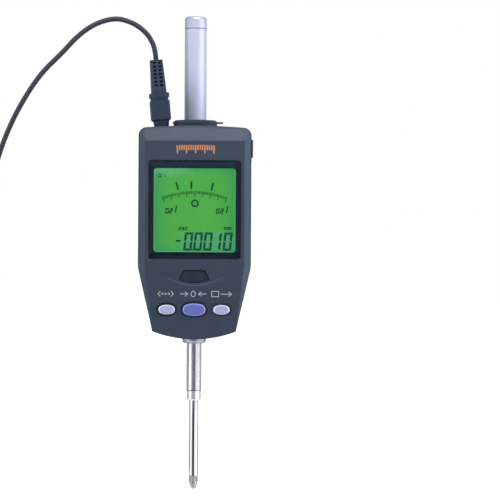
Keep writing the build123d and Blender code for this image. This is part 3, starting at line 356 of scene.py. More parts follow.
def metal(name, colour, roughness, lines, pitch=6.0, cast=False):
    """Bare metal with the marks of turning, or with the skin of a casting."""
    f = Finish(name)
    stretch = (pitch, pitch, 0.06) if cast else (0.15, 0.15, pitch)
    marks = f.noise(1.0, detail=4.0, roughness=0.6, stretch=stretch)
    cloud = f.noise(0.25, detail=3.0)
    brightest = min(1.04, 1 / max(colour))
    base = f.mottle(cloud, colour, 0.96, brightest)
    rough = f.spread(marks, roughness * 0.8, roughness * 1.25)
    return f.surface(base, rough, f.bump(marks, lines), Metallic=1.0)


def stem_metal(name, colour, roughness):
    """The stem: ground steel, with a duller, mottled flange, a paler nose and a fine line between."""
    f = Finish(name)
    low = corners("stem")[0].z
    top = corners("front_housing")[0].z
    marks = f.noise(1.0, detail=4.0, roughness=0.6, stretch=(0.15, 0.15, 9.0))
    blotch = f.noise(0.9, detail=4.0, roughness=0.7)
    flange = f.step(f.z, top - 2.75, top - 2.55)
    nose = f.fall(f.z, low - 0.1, low)
    line = f.band(f.z, (low - 0.3, low - 0.1), (low + 0.2, low + 0.4))
    dull = f.blend(f.step(blotch, 0.35, 0.65), linear(162, 164, 178), linear(210, 211, 226))
    base = f.layered(
        f.mottle(f.noise(0.25), colour, 0.96, 1.04),
        (flange, dull),
        (nose * 0.9, PALE_EDGE),
        (line * 0.7, linear(90, 92, 104)),
    )
    rough = f.spread(marks, roughness * 0.95, roughness * 1.1) + flange * 0.295 + nose * 0.195
    bump = f.bump(marks, 0.0001)
    return f.surface(base, rough, bump, Metallic=0.9, Specular_Tint=(0.35, 0.35, 0.37, 1.0))


def cover_metal(name, colour, roughness):
    """Satin tube and cap, with painted shade towards the housing that is darkest in a streak left of the
    middle, a line where the two meet, a painted highlight just above it and painted shade over the cap's
    crown.
    """
    f = Finish(name)
    low, high = (corner.z for corner in corners("spindle_cover_tube"))
    crown = corners("spindle_cover_cap")[1].z
    marks = f.noise(1.0, detail=4.0, roughness=0.6, stretch=(0.15, 0.15, 8.0))
    cloud = f.noise(0.12, detail=3.0)
    foot = f.fall(f.z, low, high - FOOT_REACH)
    shade_streak = f.band(f.x, *SHADE_STREAK_X)
    seam = f.band(f.z, (high - 0.6, high - 0.4), (high, high + 0.1))
    lip_highlight = f.band(f.z, (high + 0.05, high + 0.15), (high + 0.4, high + 0.6))
    base = f.layered(
        colour,
        # Painted shade towards the housing, darkest in a streak left of the middle.
        (foot, scaled(colour, 0.8)),
        (foot * shade_streak * 0.95, scaled(colour, 0.36)),
        (cloud * 0.3, scaled(colour, 0.9)),
        # Painted highlight just above the line where tube and cap meet.
        (lip_highlight * 0.3, PALE_EDGE),
        # Painted shade over the cap's crown, to dim its highlight.
        (f.step(f.z, crown - 2.2, crown - 0.9), scaled(colour, 0.72)),
        (seam * 0.8, linear(70, 72, 98)),
    )
    rough = f.spread(marks, roughness * 0.85, roughness * 1.15) + foot * 0.1
    return f.surface(base, rough, f.bump(marks, 0.0015), Metallic=0.92)


def knurled(name, colour):
    """Steel of the contact point, with crossed knurling round its grip."""
    f = Finish(name)
    grip = corners("spindle")[0].z
    start = (grip - 3.0, grip - 2.6)
    turn = f.math("ARCTAN2", f.x, f.y) * KNURL_LEAD
    rows = [f.math("SINE", (turn + f.z * lean) * KNURL_ROWS) for lean in (1.0, -1.0)]
    ridges = f.math("MAXIMUM", *rows) * f.band(f.z, start, (grip - 0.3, grip))
    grit = f.noise(7.0, detail=3.0, roughness=0.7)
    base = f.mottle(grit, colour, 0.55, 1.35)
    # Painted shade in the knurl's valleys.
    base = f.blend(f.fall(ridges, -0.3, 0.4) * f.step(f.z, *start) * 0.75, base, scaled(colour, 0.3))
    rough = f.spread(grit, 0.3, 0.5)
    return f.surface(base, rough, f.bump(ridges + grit * 0.3, 0.12), Metallic=0.9)


def rubber(name, colour, roughness=0.6, fineness=3.0, gloss=0.25):
    """Matt rubber or soft vinyl."""
    f = Finish(name)
    fine = f.noise(fineness, detail=4.0, roughness=0.6)
    cloud = f.noise(0.2, detail=2.0)
    base = f.mottle(cloud, colour, 0.9, 1.12)
    rough = f.spread(fine, roughness - 0.06, roughness + 0.08)
    return f.surface(base, rough, f.bump(fine, 0.008), gloss=gloss)


def plug_finish(name, colour):
    """Vinyl of the plug, with painted shade inside the slots of its strain relief."""
    f = Finish(name)
    place = f.vector_math("SUBTRACT", f.place, PLUG_FOOT)
    place = f.turned(f.turned(place, "Y_AXIS", PLUG_LEAN), "Z_AXIS", -PLUG_TWIST)
    x, y, z = f.axes(place)
    # Painted shade inside the slots.
    slot_shade = f.fall(abs(x), *SLOT_X) * f.fall(abs(y), *SLOT_Y) * f.band(z, *SLOT_Z)
    fine = f.noise(3.0, detail=4.0, roughness=0.6)
    cloud = f.noise(0.25, detail=3.0)
    base = f.mottle(cloud, colour, 0.85, 1.15)
    base = f.blend(slot_shade, base, linear(20, 29, 43))
    rough = f.spread(fine, 0.46, 0.6)
    return f.surface(base, rough, f.bump(fine, 0.008), gloss=0.3)


def circuit(name, colour):
    """Solder-masked board with tracks under the lacquer."""
    f = Finish(name)
    inputs = {
        "Vector": f.join(f.x, f.z, f.y),
        "Scale": 0.6,
        "Mortar Size": 0.07,
        "Mortar Smooth": 0.3,
        "Brick Width": 1.9,
        "Row Height": 0.8,
    }
    tracks = f.node("ShaderNodeTexBrick", {"offset": 0.37, "squash": 1.0}, inputs, output="Fac")
    base = f.blend(tracks, colour, scaled(colour, 1.8))
    rough = f.spread(f.noise(2.0), 0.25, 0.4)
    return f.surface(base, rough, f.bump(tracks, 0.03))


def clear(name, tint):
    """Thin clear pane: see-through, with gloss that grows towards a glancing view."""
    f = Finish(name)
    grazing = f.node("ShaderNodeFresnel", {}, {"IOR": 1.45})
    smear = f.spread(f.noise(0.05, detail=3.0), 0.04, 0.12)
    inputs = {"Base Color": (*tint, 1.0), "Roughness": smear, "IOR": 1.45}
    gloss = f.node("ShaderNodeBsdfPrincipled", {}, inputs)
    through = f.node("ShaderNodeBsdfTransparent", {}, {"Color": (0.97, 0.98, 0.975, 1.0)})
    inputs = {0: f.clamped(grazing * 0.3), 1: through, 2: gloss}
    return f.result(f.node("ShaderNodeMixShader", {}, inputs))


def dark_filter(name, colour):
    """Smoked infrared window: near black and blotchy, with a darker border."""
    f = Finish(name)
    low, high = corners("ir_window")
    top = high.z - IR_RIM
    belly = low.z + IR_RIM
    smear = f.noise(0.3, detail=2.0, roughness=0.5)
    slope = abs(f.x) - IR_TOP_W / 2 - (top - f.z) * (IR_LOW_W - IR_TOP_W) / 2 / IR_H
    rise = f.z - (belly + IR_CURVE)
    sag = (f.x * f.x + rise * rise) ** 0.5 - IR_CURVE
    over = f.math("MAXIMUM", f.math("MAXIMUM", slope, f.z - top), sag)
    base = f.mottle(f.step(smear, 0.35, 0.65), colour, 0.85, 1.15)
    base = f.blend(f.step(over, -0.85, -0.45) * 0.85, base, linear(14, 24, 38))
    return f.surface(base, f.spread(smear, 0.4, 0.5), gloss=0.3)


def display_glow(name, centre, edge, bright):
    """Backlit liquid crystal: even green, bluer towards its sides, with a painted highlight along the
    top that is strongest to the left.
    """
    f = Finish(name)
    x, z = opening_axes(f)
    half = OPENING_W / 2
    rise = OPENING_H / 2
    sides = f.step(abs(x - 0.5), half * 0.55, half * 1.08)
    ends = f.step(abs(z), rise * 0.72, rise * 1.05)
    # Painted highlight: a faint reflection along the top, strongest to the left.
    top_highlight = f.step(z, rise * 0.7, rise) * f.fall(x, -half * 0.8, half * 0.35)
    rim = f.clamped(f.step(abs(x), half - 0.9, half - 0.3) + f.step(abs(z), rise - 0.9, rise - 0.3))
    unlit = f.fall(abs(x - UNLIT_MIDDLE), *UNLIT_X) * f.fall(abs(z - DIGITS_Z), *UNLIT_Z)
    cells = f.noise(0.35, detail=1.0)
    over = (
        abs(x) - (half - DISPLAY_CORNER),
        abs(z + DISPLAY_DROP) - (rise - DISPLAY_DROP - DISPLAY_CORNER),
    )
    corner = f.join(*(f.math("MAXIMUM", axis, 0) for axis in over), 0)
    outside = f.step(f.length(corner), DISPLAY_CORNER - 0.1, DISPLAY_CORNER + 0.15)
    colour = f.layered(
        centre,
        (f.clamped((sides + ends) * 0.85), edge),
        (f.clamped(top_highlight * 0.6 + rim * 0.45), bright),
        (unlit * 0.55, linear(74, 150, 116)),
        (f.spread(cells, 0.0, 0.14), scaled(centre, 0.72)),
        (outside, linear(10, 40, 36)),
    )
    rough = f.spread(cells, 0.4, 0.5)
    return f.surface(colour, rough, gloss=0.2, Emission_Color=colour, Emission_Strength=0.5)


def ink(name, colour, roughness=0.5):
    """Printed ink with a slightly uneven film."""
    f = Finish(name)
    film = f.noise(2.5, detail=3.0)
    base = f.mottle(film, colour, 0.88, 1.08)
    rough = f.spread(film, roughness - 0.05, roughness + 0.08)
    return f.surface(base, rough, f.bump(film, 0.004), gloss=0.3)


def mask_finish(name, colour, glow):
    """Black print round the display, touched with green where the light leaks on to it."""
    f = Finish(name)
    x, z = opening_axes(f)
    over = f.math("MAXIMUM", abs(x) - OPENING_W / 2, abs(z) - OPENING_H / 2)
    film = f.noise(0.5, detail=3.0)
    base = f.layered(
        f.mottle(film, colour, 0.9, 1.1),
        (f.step(z, OPENING_H / 2, OPENING_H / 2 + 3.0) * 0.7, scaled(colour, 2.3)),
        (f.fall(over, 0.0, 1.1) * 0.8, glow),
    )
    return f.surface(base, f.spread(film, 0.4, 0.55), gloss=0.2)


def graduated_glass(name, colour):
    """Scale glass with its fine ruled lines."""
    f = Finish(name)
    lines = f.step(f.math("SINE", f.z * (2 * math.pi / RULED_PITCH)), 0.2, 0.5)
    base = f.blend(lines, colour, scaled(colour, 0.2))
    return f.surface(base, f.spread(f.noise(0.3), 0.05, 0.12), Coat_Weight=0.3)


def window_middle():
    """Middle of the display's opening, in millimetres."""
    low, high = corners("window_mask")
    return (low + high) / 2


def opening_axes(f):
    """X and Z from the middle of the display's opening."""
    middle = window_middle()
    return f.x - middle.x, f.z - middle.z


CASE = linear(42, 55, 75)
DARK = linear(11, 14, 23)


def slot_name(material):
    """A material's name without the number that Blender adds when a name is taken."""
    return material.name.split(".")[0]


def make_finishes(colours):
    """Every slot's material, by the name of its slot."""
    made = (
        housing_finish("housing_plastic", colours.housing),
        moulded("dark_plastic", DARK, roughness=0.6, gloss=0.1),
        key_finish("key_lavender", colours.side_key, linear(214, 217, 240)),
        key_finish("key_violet", colours.middle_key, linear(150, 160, 224)),
        clear("window_clear", (0.02, 0.025, 0.03)),
        mask_finish("mask_ink", linear(24, 40, 57), linear(0, 58, 38)),
        display_glow("lcd_green", colours.display, linear(54, 150, 84), linear(114, 180, 138)),
        moulded("light_guide", (0.62, 0.72, 0.62), roughness=0.2, grain=0.002),
        circuit("board_green", (0.015, 0.11, 0.035)),
        dark_filter("ir_dark", linear(28, 43, 58)),
        stem_metal("stem_steel", (0.78, 0.79, 0.82), 0.145),
        metal("spindle_steel", (0.88, 0.88, 0.9), 0.07, lines=0.0003, pitch=12.0),
        cover_metal("cover_steel", (0.61, 0.655, 0.8), 0.45),
        cover_metal("cap_metal", (0.57, 0.6, 0.72), 0.45),
        knurled("point_steel", (0.48, 0.48, 0.5)),
        metal("carbide", (0.46, 0.46, 0.48), 0.3, lines=0.0005),
        metal("cast_alloy", (0.55, 0.56, 0.57), 0.45, lines=0.01, pitch=0.8, cast=True),
        metal("bearing_bronze", (0.62, 0.42, 0.20), 0.3, lines=0.002),
        rubber("black_rubber", (0.018, 0.018, 0.02)),
        graduated_glass("scale_glass", (0.55, 0.66, 0.62)),
        metal("fastener_steel", (0.35, 0.36, 0.38), 0.28, lines=0.001),
        rubber("collar_dark", linear(49, 61, 83), roughness=0.5, gloss=0.15),
        plug_finish("plug_plastic", linear(33, 47, 69)),
        rubber("cord_sheath", linear(38, 45, 58), roughness=0.42, fineness=1.4, gloss=0.4),
        rubber("tie_strap", (0.02, 0.021, 0.024), roughness=0.55),
        moulded("adapter_plastic", linear(40, 44, 52), roughness=0.5, grain=0.012, fineness=3.0),
        metal("contact_nickel", (0.72, 0.69, 0.62), 0.16, lines=0.0008),
        ink("display_digits", colours.digits, roughness=0.3),
        ink("display_fine", scaled(colours.digits, 0.5), roughness=0.3),
        ink("print_white", colours.print_white),
        ink("print_orange", colours.print_orange),
    )
    return {slot_name(material): material for material in made}


def dress_nodes(finishes):
    """Puts each slot's material on the CAD nodes that name it."""
    for node in NODES.values():
        for k, material in enumerate(node.data.materials):
            node.data.materials[k] = finishes[slot_name(material)]


# ---------------- pieces
def linked(name, data):
    """New object in the scene, at the origin."""
    made = bpy.data.objects.new(name, data)
    bpy.context.scene.collection.objects.link(made)
    return made


def finished(name, bm, material):
    """Mesh piece in millimetres made an object that rides on the housing."""
    bmesh.ops.scale(bm, vec=(MM, MM, MM), verts=bm.verts)
    bmesh.ops.recalc_face_normals(bm, faces=bm.faces)
    mesh = bpy.data.meshes.new(name)
    bm.to_mesh(mesh)
    bm.free()
    mesh.materials.append(material)
    piece = linked(name, mesh)
    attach(piece, "housing")
    return piece


def bridge(bm, near, far, closed=True):
    """Faces between two rows of the same number of vertices."""
    count = len(near)
    for k in range(count if closed else count - 1):
        j = (k + 1) % count
        bm.faces.new((near[k], near[j], far[j], far[k]))


# ---------------- flat marks
MARK_THICKNESS = 0.03
LEAN = math.radians(6)
MITRE_LIMIT = 0.4
DIGIT_PARTS = {"0": "abcdef", "1": "bc", "2": "abged", "5": "afgcd"}


def oval(x, z, across, high, steps=28):
    """Points round an ellipse."""
    turns = (2 * math.pi * k / steps for k in range(steps))
    return [(x + across / 2 * math.cos(t), z + high / 2 * math.sin(t)) for t in turns]


class Marks:
    """Flat marks of one ink, drawn as a front view in millimetres from a middle."""

    def __init__(self, x, z, back):
        self.bm = bmesh.new()
        self.x, self.z = x, z
        self.front, self.back = back - MARK_THICKNESS, back

    def vert(self, point, y):
        return self.bm.verts.new((self.x + point[0], y, self.z + point[1]))

    def stroke(self, points, width, closed=False):
        """Stroke of even width along points, with mitred corners."""
        points = [Vector(p) for p in points]
        count = len(points)
        rows = []
        for k, point in enumerate(points):
            after = points[(k + 1) % count] - point if closed or k < count - 1 else None
            before = point - points[k - 1] if closed or k else after
            after = after or before
            before, after = before.normalized(), after.normalized()
            along = (before + after).normalized()
            side = Vector((-along.y, along.x)) * (width / 2 / max(MITRE_LIMIT, along.dot(before)))
            near = [self.vert(p, self.front) for p in (point + side, point - side)]
            far = [self.vert(p, self.back) for p in (point - side, point + side)]
            rows.append(near + far)
        for k in range(count if closed else count - 1):
            bridge(self.bm, rows[k], rows[(k + 1) % count])
        if not closed:
            self.bm.faces.new(rows[0][::-1])
            self.bm.faces.new(rows[-1])

    def plate(self, outline):
        """Flat solid with an outline."""
        near = [self.vert(p, self.front) for p in outline]
        far = [self.vert(p, self.back) for p in outline]
        self.bm.faces.new(near)
        self.bm.faces.new(far[::-1])
        bridge(self.bm, far, near)

    def digit(self, sign, x, z, width, height, stroke):
        """Leaning seven-segment digit with its middle at x, z."""
        w, h = width / 2, height / 2
        cut, middle = 0.08 * stroke, 0.06 * stroke
        inner, tip = stroke + cut, stroke / 2 + cut
        bar = [(-w + cut, h), (w - cut, h), (w - inner, h - stroke), (-w + inner, h - stroke)]
        post = [(w, h - cut), (w, middle), (w - stroke, middle + stroke * 0.4), (w - stroke, h - inner)]
        waist = [(-w + cut, 0), (-w + tip, stroke / 2), (w - tip, stroke / 2)]
        shapes = {
            "a": bar,
            "b": post,
            "c": [(u, -v) for u, v in post],
            "d": [(u, -v) for u, v in bar],
            "e": [(-u, -v) for u, v in post],
            "f": [(-u, v) for u, v in post],
            "g": waist + [(-u, -v) for u, v in waist],
        }
        for part in DIGIT_PARTS[sign]:
            self.plate([(x + u + math.tan(LEAN) * v, z + v) for u, v in shapes[part]])

    def digits(self, signs, x, z, pitch, width, height, stroke, one=0.0):
        """Row of digits from the first one's middle; a 1 may stand off the middle of its place."""
        for k, sign in enumerate(signs):
            shift = one if sign == "1" else 0.0
            self.digit(sign, x + pitch * k + shift, z, width, height, stroke)

    def finish(self, name, material):
        return finished(name, self.bm, material)


# ---------------- graduations
def graduation_tree():
    """Ticks along an arc, hanging inward, every so many of them longer."""
    tree = bpy.data.node_groups.new("graduation", "GeometryNodeTree")
    face = tree.interface
    kinds = dict.fromkeys(("Count", "Every"), "NodeSocketInt")
    sizes = ("Step", "Radius", "Short", "Long", "Stroke", "Depth")
    kinds.update(dict.fromkeys(sizes, "NodeSocketFloat"))
    kinds.update(Apex="NodeSocketVector", Finish="NodeSocketMaterial")
    for name, kind in kinds.items():
        face.new_socket(name, in_out="INPUT", socket_type=kind)
    face.new_socket("Geometry", in_out="OUTPUT", socket_type="NodeSocketGeometry")
    b = Board(tree)
    given = b.outputs("NodeGroupInput")
    index = b.node("GeometryNodeInputIndex")
    angle = (index - (given["Count"] - 1) / 2) * given["Step"]
    sine = b.math("SINE", angle)
    drop = (b.math("COSINE", angle) - 1) * given["Radius"]
    place = b.vector_math("ADD", b.join(sine * given["Radius"], 0, drop), given["Apex"])
    points = b.node("GeometryNodePoints", {}, {"Count": given["Count"], "Position": place})
    phase = b.math("MODULO", index, given["Every"])
    is_long = b.math("LESS_THAN", phase, 0.5)
    length = given["Short"] + (given["Long"] - given["Short"]) * is_long
    tick = b.node("GeometryNodeMeshCube")
    tick = b.node("GeometryNodeTransform", {}, {"Geometry": tick, "Translation": (0, 0, -0.5)})
    inputs = {
        "Points": points,
        "Instance": tick,
        "Rotation": b.join(0, angle, 0),
        "Scale": b.join(given["Stroke"], given["Depth"], length),
    }
    placed = b.node("GeometryNodeInstanceOnPoints", {}, inputs)
    solid = b.node("GeometryNodeRealizeInstances", {}, {0: placed})
    coated = b.node("GeometryNodeSetMaterial", {}, {"Geometry": solid, "Material": given["Finish"]})
    b.node("NodeGroupOutput", {}, {0: coated})
    return tree


def graduation(name, finish, apex, step, **values):
    """One arc of ticks as a plain mesh, from sizes in millimetres and a step in degrees."""
    tree = bpy.data.node_groups.get("graduation") or graduation_tree()
    maker = linked(name + "_maker", bpy.data.meshes.new(name))
    modifier = maker.modifiers.new("ticks", "NODES")
    modifier.node_group = tree
    x, y, z = apex
    values = {key: value if isinstance(value, int) else value * MM for key, value in values.items()}
    values.update(
        Step=math.radians(step),
        Depth=MARK_THICKNESS * MM,
        Apex=(x * MM, (y - MARK_THICKNESS / 2) * MM, z * MM),
        Finish=finish,
    )
    for socket in tree.interface.items_tree:
        if socket.in_out == "INPUT":
            modifier[socket.identifier] = values[socket.name]
    bpy.context.view_layer.update()
    shape = maker.evaluated_get(bpy.context.evaluated_depsgraph_get())
    mesh = bpy.data.meshes.new_from_object(shape)
    mesh.name = name
    bpy.data.objects.remove(maker)
    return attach(linked(name, mesh), "housing")


# ---------------- cord
ROUTE = [
    (-24.5, -3.0, 175.4),
    (-28.6, -3.1, 179.7),
    (-34.0, -3.2, 183.1),
    (-42.4, -3.4, 185.5),
    (-53.1, -3.6, 182.6),
    (-62.7, -3.8, 175.9),
    (-71.2, -4.0, 166.3),
    (-81.5, -4.3, 156.4),
    (-89.8, -4.6, 144.2),
    (-98.0, -5.0, 129.0),
    (-105.5, -5.4, 109.0),
    (-110.5, -6.0, 84.0),
    (-112.5, -7.0, 54.0),
    (-112.0, -8.5, 22.0),
    (-112.5, -10.5, -8.0),
    (-112.0, -12.3, -32.0),
    (-114.5, -14.6, -48.5),
    (-121.5, -15.8, -58.6),
    (-132.0, -16.0, -62.8),
]
LAST_ROUTE = [
    (-163.0, -13.5, -52.0),
    (-170.0, -6.0, -51.8),
    (-177.0, 0.5, -51.6),
    (-186.0, 3.0, -51.5),
    (-194.0, 3.0, -51.5),
]
CORD_D = 2.8
LEAD_START = (-21.05, -3.0, 163.19)
LEAD_FIRST = (-21.58, -3.0, 169.17)
COIL_CENTRE = (-143.0, 4.0)
COIL_R = 20.0
COIL_LOW = -62.8
COIL_LAYERS = 4
HALF_TURNS = 4
COIL_STEP = 0.95 * CORD_D / math.cos(math.pi / 6) + 0.5
COIL_POINTS = 8
END_RUN = 10.0


def coil_stations():
    """Radius and height at each half turn, as the put-away lead is wound."""
    radius, height = COIL_R, COIL_LOW
    stations = [(radius, height)]
    for layer in range(COIL_LAYERS):
        inward = 1 if layer % 2 else -1
        for _ in range(HALF_TURNS):
            radius += inward * COIL_STEP / 2
            stations.append((radius, height))
        if layer < COIL_LAYERS - 1:
            edge = radius + inward * COIL_STEP / 4
            stations[-1] = (edge, height)
            height += COIL_STEP
            stations.append((edge, height))
        else:
            stations.append((radius + inward * COIL_STEP / 2, height))
    return stations


def coil_route():
    """Control points of the coil: the curve of order 3 runs inside them by a known share."""
    stations = coil_stations()
    swell = 1 / math.cos(math.pi / COIL_POINTS / 2)
    route = []
    for k in range(len(stations) - 1):
        (r0, z0), (r1, z1) = stations[k], stations[k + 1]
        for j in range(COIL_POINTS):
            share = (j + 0.5) / COIL_POINTS
            turn = math.pi * (k + share)
            radius = (r0 + (r1 - r0) * share) * swell
            x = COIL_CENTRE[0] - radius * math.sin(turn)
            y = COIL_CENTRE[1] - radius * math.cos(turn)
            route.append((x, y, z0 + (z1 - z0) * share))
    return route


def lead_route():
    """The whole lead, from the plug to the adapter."""
    stations = coil_stations()
    (_, last_z), last_r = stations[-1], stations[-1][0]
    leave = (COIL_CENTRE[0] - END_RUN, COIL_CENTRE[1] - last_r, last_z)
    return [LEAD_START, LEAD_FIRST, *ROUTE, *coil_route(), leave, *LAST_ROUTE]


# ---------------- properties
class IndicatorColours(bpy.types.PropertyGroup):
    """Colours of the finishes."""

    housing: bpy.props.FloatVectorProperty(
        name="Housing", description="Case plastic", subtype="COLOR", size=3, default=CASE
    )
    side_key: bpy.props.FloatVectorProperty(
        name="Side keys", description="The two pale keys", subtype="COLOR", size=3,
        default=linear(167, 171, 214),
    )
    middle_key: bpy.props.FloatVectorProperty(
        name="Middle key", description="The darker middle key", subtype="COLOR", size=3,
        default=linear(97, 107, 183),
    )
    display: bpy.props.FloatVectorProperty(
        name="Display", description="Lit display", subtype="COLOR", size=3,
        default=linear(72, 158, 66),
    )
    digits: bpy.props.FloatVectorProperty(
        name="Digits", description="Driven display segments", subtype="COLOR", size=3,
        default=linear(2, 86, 66),
    )
    print_white: bpy.props.FloatVectorProperty(
        name="White print", description="Symbols over the keys", subtype="COLOR", size=3,
        default=linear(176, 184, 194),
    )
    print_orange: bpy.props.FloatVectorProperty(
        name="Orange print", description="Scale mark over the display", subtype="COLOR", size=3,
        default=linear(222, 146, 84),
    )


class IndicatorSizes(bpy.types.PropertyGroup):
    """Sizes of the marks and of the view."""

    digit_height: bpy.props.FloatProperty(
        name="Digit height", description="Large display digits", unit="LENGTH", default=9.6 * MM
    )
    digit_pitch: bpy.props.FloatProperty(
        name="Digit pitch", description="From digit to digit", unit="LENGTH", default=5.2 * MM
    )
    arc_radius: bpy.props.FloatProperty(
        name="Arc radius",
        description="Radius of the display's arc scale",
        unit="LENGTH",
        default=47.0 * MM,
    )
    field: bpy.props.FloatProperty(
        name="Field", description="Width seen by the camera", unit="LENGTH", default=0.2649
    )
    lens: bpy.props.FloatProperty(name="Lens", description="Focal length in millimetres", default=220.0)


def settings():
    return bpy.context.scene.indicator_colours, bpy.context.scene.indicator_sizes


FINISHES = {}


# ---------------- operators
class INDICATOR_OT_finishes(bpy.types.Operator):
    """Make every material and put it on the CAD nodes"""

    bl_idname = "indicator.finishes"
    bl_label = "Finishes"

    def execute(self, context):
        colours, _ = settings()
        FINISHES.update(make_finishes(colours))
        dress_nodes(FINISHES)
        return {"FINISHED"}


DISPLAY_GAP = 0.02
# Places on the display, from the middle of its opening.
LARGE_X = -3.3
LARGE_W = 4.4
LARGE_STROKE = 1.18
LARGE_ONE = -0.5
POINT_PLACE = (-0.6, 0.45)
POINT_D = 0.9
MINUS = ((-9.8, -16.4), (-7.4, -16.4))
TALL_MARKS = (
    ((-9.88, 14.45), (-8.67, 10.4)),
    ((-1.84, 15.0), (-1.81, 11.15)),
    ((9.65, 14.45), (8.81, 10.2)),
)
TALL_STROKE = 0.95
RING = (0.1, 3.4, 3.2, 3.2)
RING_STROKE = 0.88
# signs, x and z of the first one's middle, pitch, width, height, stroke
SMALL_DIGITS = (
    ("02", -14.6, -0.6, 2.1, 1.8, 2.8, 0.62),
    ("02", 12.2, -0.6, 2.2, 1.8, 2.8, 0.62),
    ("01", -18.4, 18.0, 2.0, 1.5, 1.9, 0.46),
    ("250", -7.8, -9.9, 1.7, 1.4, 1.9, 0.44),
)
SMALL_ONES = (((-10.25, -1.5), (-9.45, 2.2)), ((16.75, -1.5), (17.55, 2.2)))
SMALL_ONE_STROKE = 0.6
LETTER_X = (15.7, 17.7)
LETTER_LEGS = (
    ((0, -10.6), (0, -9.2), (0.75, -9.2), (0.75, -10.6)),
    ((0.89, -9.2), (1.5, -9.2), (1.5, -10.6)),
)
LETTER_STROKE = 0.4
ARC_TOP = 9.9
ARC_STEP = 1.065
ARC_TICKS = {"Count": 41, "Every": 5, "Short": 1.5, "Long": 2.9, "Stroke": 0.4}


class INDICATOR_OT_display(bpy.types.Operator):
    """Draw the display's digits, arc scale, pointer ring and small figures"""

    bl_idname = "indicator.display"
    bl_label = "Display"

    def execute(self, context):
        _, sizes = settings()
        middle = window_middle()
        back = corners("lcd_panel")[0].y - DISPLAY_GAP
        height = sizes.digit_height / MM
        pitch = sizes.digit_pitch / MM

        marks = Marks(middle.x, middle.z, back)
        marks.digits("00010", LARGE_X, DIGITS_Z, pitch, LARGE_W, height, LARGE_STROKE, one=LARGE_ONE)
        x = LARGE_X + pitch / 2 + POINT_PLACE[0]
        z = DIGITS_Z - height / 2 + POINT_PLACE[1]
        marks.plate(oval(x, z, POINT_D, POINT_D, 12))
        marks.stroke(MINUS, TALL_STROKE)
        marks.stroke(oval(*RING), RING_STROKE, closed=True)
        for points in TALL_MARKS:
            marks.stroke(points, TALL_STROKE)
        marks.finish("display_figures", FINISHES["display_digits"])

        marks = Marks(middle.x, middle.z, back)
        for row in SMALL_DIGITS:
            marks.digits(*row)
        for points in SMALL_ONES:
            marks.stroke(points, SMALL_ONE_STROKE)
        for x in LETTER_X:
            for points in LETTER_LEGS:
                marks.stroke([(x + u, v) for u, v in points], LETTER_STROKE)
        marks.finish("display_small_figures", FINISHES["display_fine"])

        apex = (middle.x, back, middle.z + ARC_TOP)
        ticks = {"Radius": sizes.arc_radius / MM, **ARC_TICKS}
        graduation("display_arc_scale", FINISHES["display_fine"], apex, ARC_STEP, **ticks)
        return {"FINISHED"}


PRINT_SINK = 0.01
SYMBOL_RISE = 8.3
SYMBOL_STROKE = 0.36
# Strokes over the keys, from the middle of their line: brackets, two arrows to a zero, one away.
SYMBOL_LINES = (
    ((-17.8, 1.4), (-19.0, 0), (-17.8, -1.4)),
    ((-12.2, 1.4), (-11.0, 0), (-12.2, -1.4)),
    ((-7.5, 0), (-3.6, 0)),
    ((-4.8, 1.2), (-3.3, 0), (-4.8, -1.2)),
    ((6.5, 0), (2.6, 0)),
    ((3.8, 1.2), (2.3, 0), (3.8, -1.2)),
    ((14.1, 0), (19.4, 0)),
    ((18.1, 1.3), (19.7, 0), (18.1, -1.3)),
)
SYMBOL_DOTS = (-16.7, -15.0, -13.3)
DOT_D = 0.8
DOT_STROKE = 0.3
SYMBOL_ZERO = (-0.5, 0, 2.2, 2.9)
SYMBOL_BOX = ((9.2, -1.4), (12.9, -1.4), (12.9, 1.4), (9.2, 1.4))
SCALE_MARK_APEX = (0.4, 117.6)
SCALE_MARK_STEP = 0.35
SCALE_MARK_TICKS = {
    "Count": 17, "Every": 4, "Radius": 200.0, "Short": 2.6, "Long": 4.4, "Stroke": 0.62
}


class INDICATOR_OT_prints(bpy.types.Operator):
    """Print the symbols over the keys and the scale mark over the display"""

    bl_idname = "indicator.prints"
    bl_label = "Prints"

    def execute(self, context):
        back = corners("front_housing")[0].y + PRINT_SINK
        low, high = corners("mode_button")
        marks = Marks(0, (low.z + high.z) / 2 + SYMBOL_RISE, back)
        for points in SYMBOL_LINES:
            marks.stroke(points, SYMBOL_STROKE)
        for x in SYMBOL_DOTS:
            marks.stroke(oval(x, 0, DOT_D, DOT_D, 14), DOT_STROKE, closed=True)
        for points in (oval(*SYMBOL_ZERO), SYMBOL_BOX):
            marks.stroke(points, SYMBOL_STROKE, closed=True)
        marks.finish("key_symbols", FINISHES["print_white"])

        apex = (SCALE_MARK_APEX[0], back, SCALE_MARK_APEX[1])
        graduation("scale_mark", FINISHES["print_orange"], apex, SCALE_MARK_STEP, **SCALE_MARK_TICKS)
        return {"FINISHED"}


TIE_THICKNESS = 0.75
TIE_LEAST_EDGE = 0.15


def bundle_outline(lead):
    """Outline of the turns that the tie goes round, seen along Y, in millimetres."""
    low, high = corners("cord_tie")
    drawn = lead.evaluated_get(bpy.context.evaluated_depsgraph_get())
    places = [vert.co / MM for vert in drawn.to_mesh().vertices]
    drawn.to_mesh_clear()
    held = [p.xz for p in places if all(a < b < c for a, b, c in zip(low, p, high))]
    outline = []
    for corner in (held[i] for i in convex_hull_2d(held)):
        near = [(corner - other).length for other in (outline[:1] + outline[-1:])]
        if min(near, default=math.inf) > TIE_LEAST_EDGE:
            outline.append(corner)
    return outline


def wider(outline, by):
    """A convex outline moved outwards by a distance."""
    middle = sum(outline, Vector((0, 0))) / len(outline)
    moved = []
    for k, corner in enumerate(outline):
        normals = []
        after = outline[(k + 1) % len(outline)]
        for edge in (corner - outline[k - 1], after - corner):
            normal = edge.orthogonal().normalized()
            normals.append(normal if normal.dot(corner - middle) > 0 else -normal)
        moved.append(corner + (normals[0] + normals[1]) * by / (1 + normals[0].dot(normals[1])))
    return moved


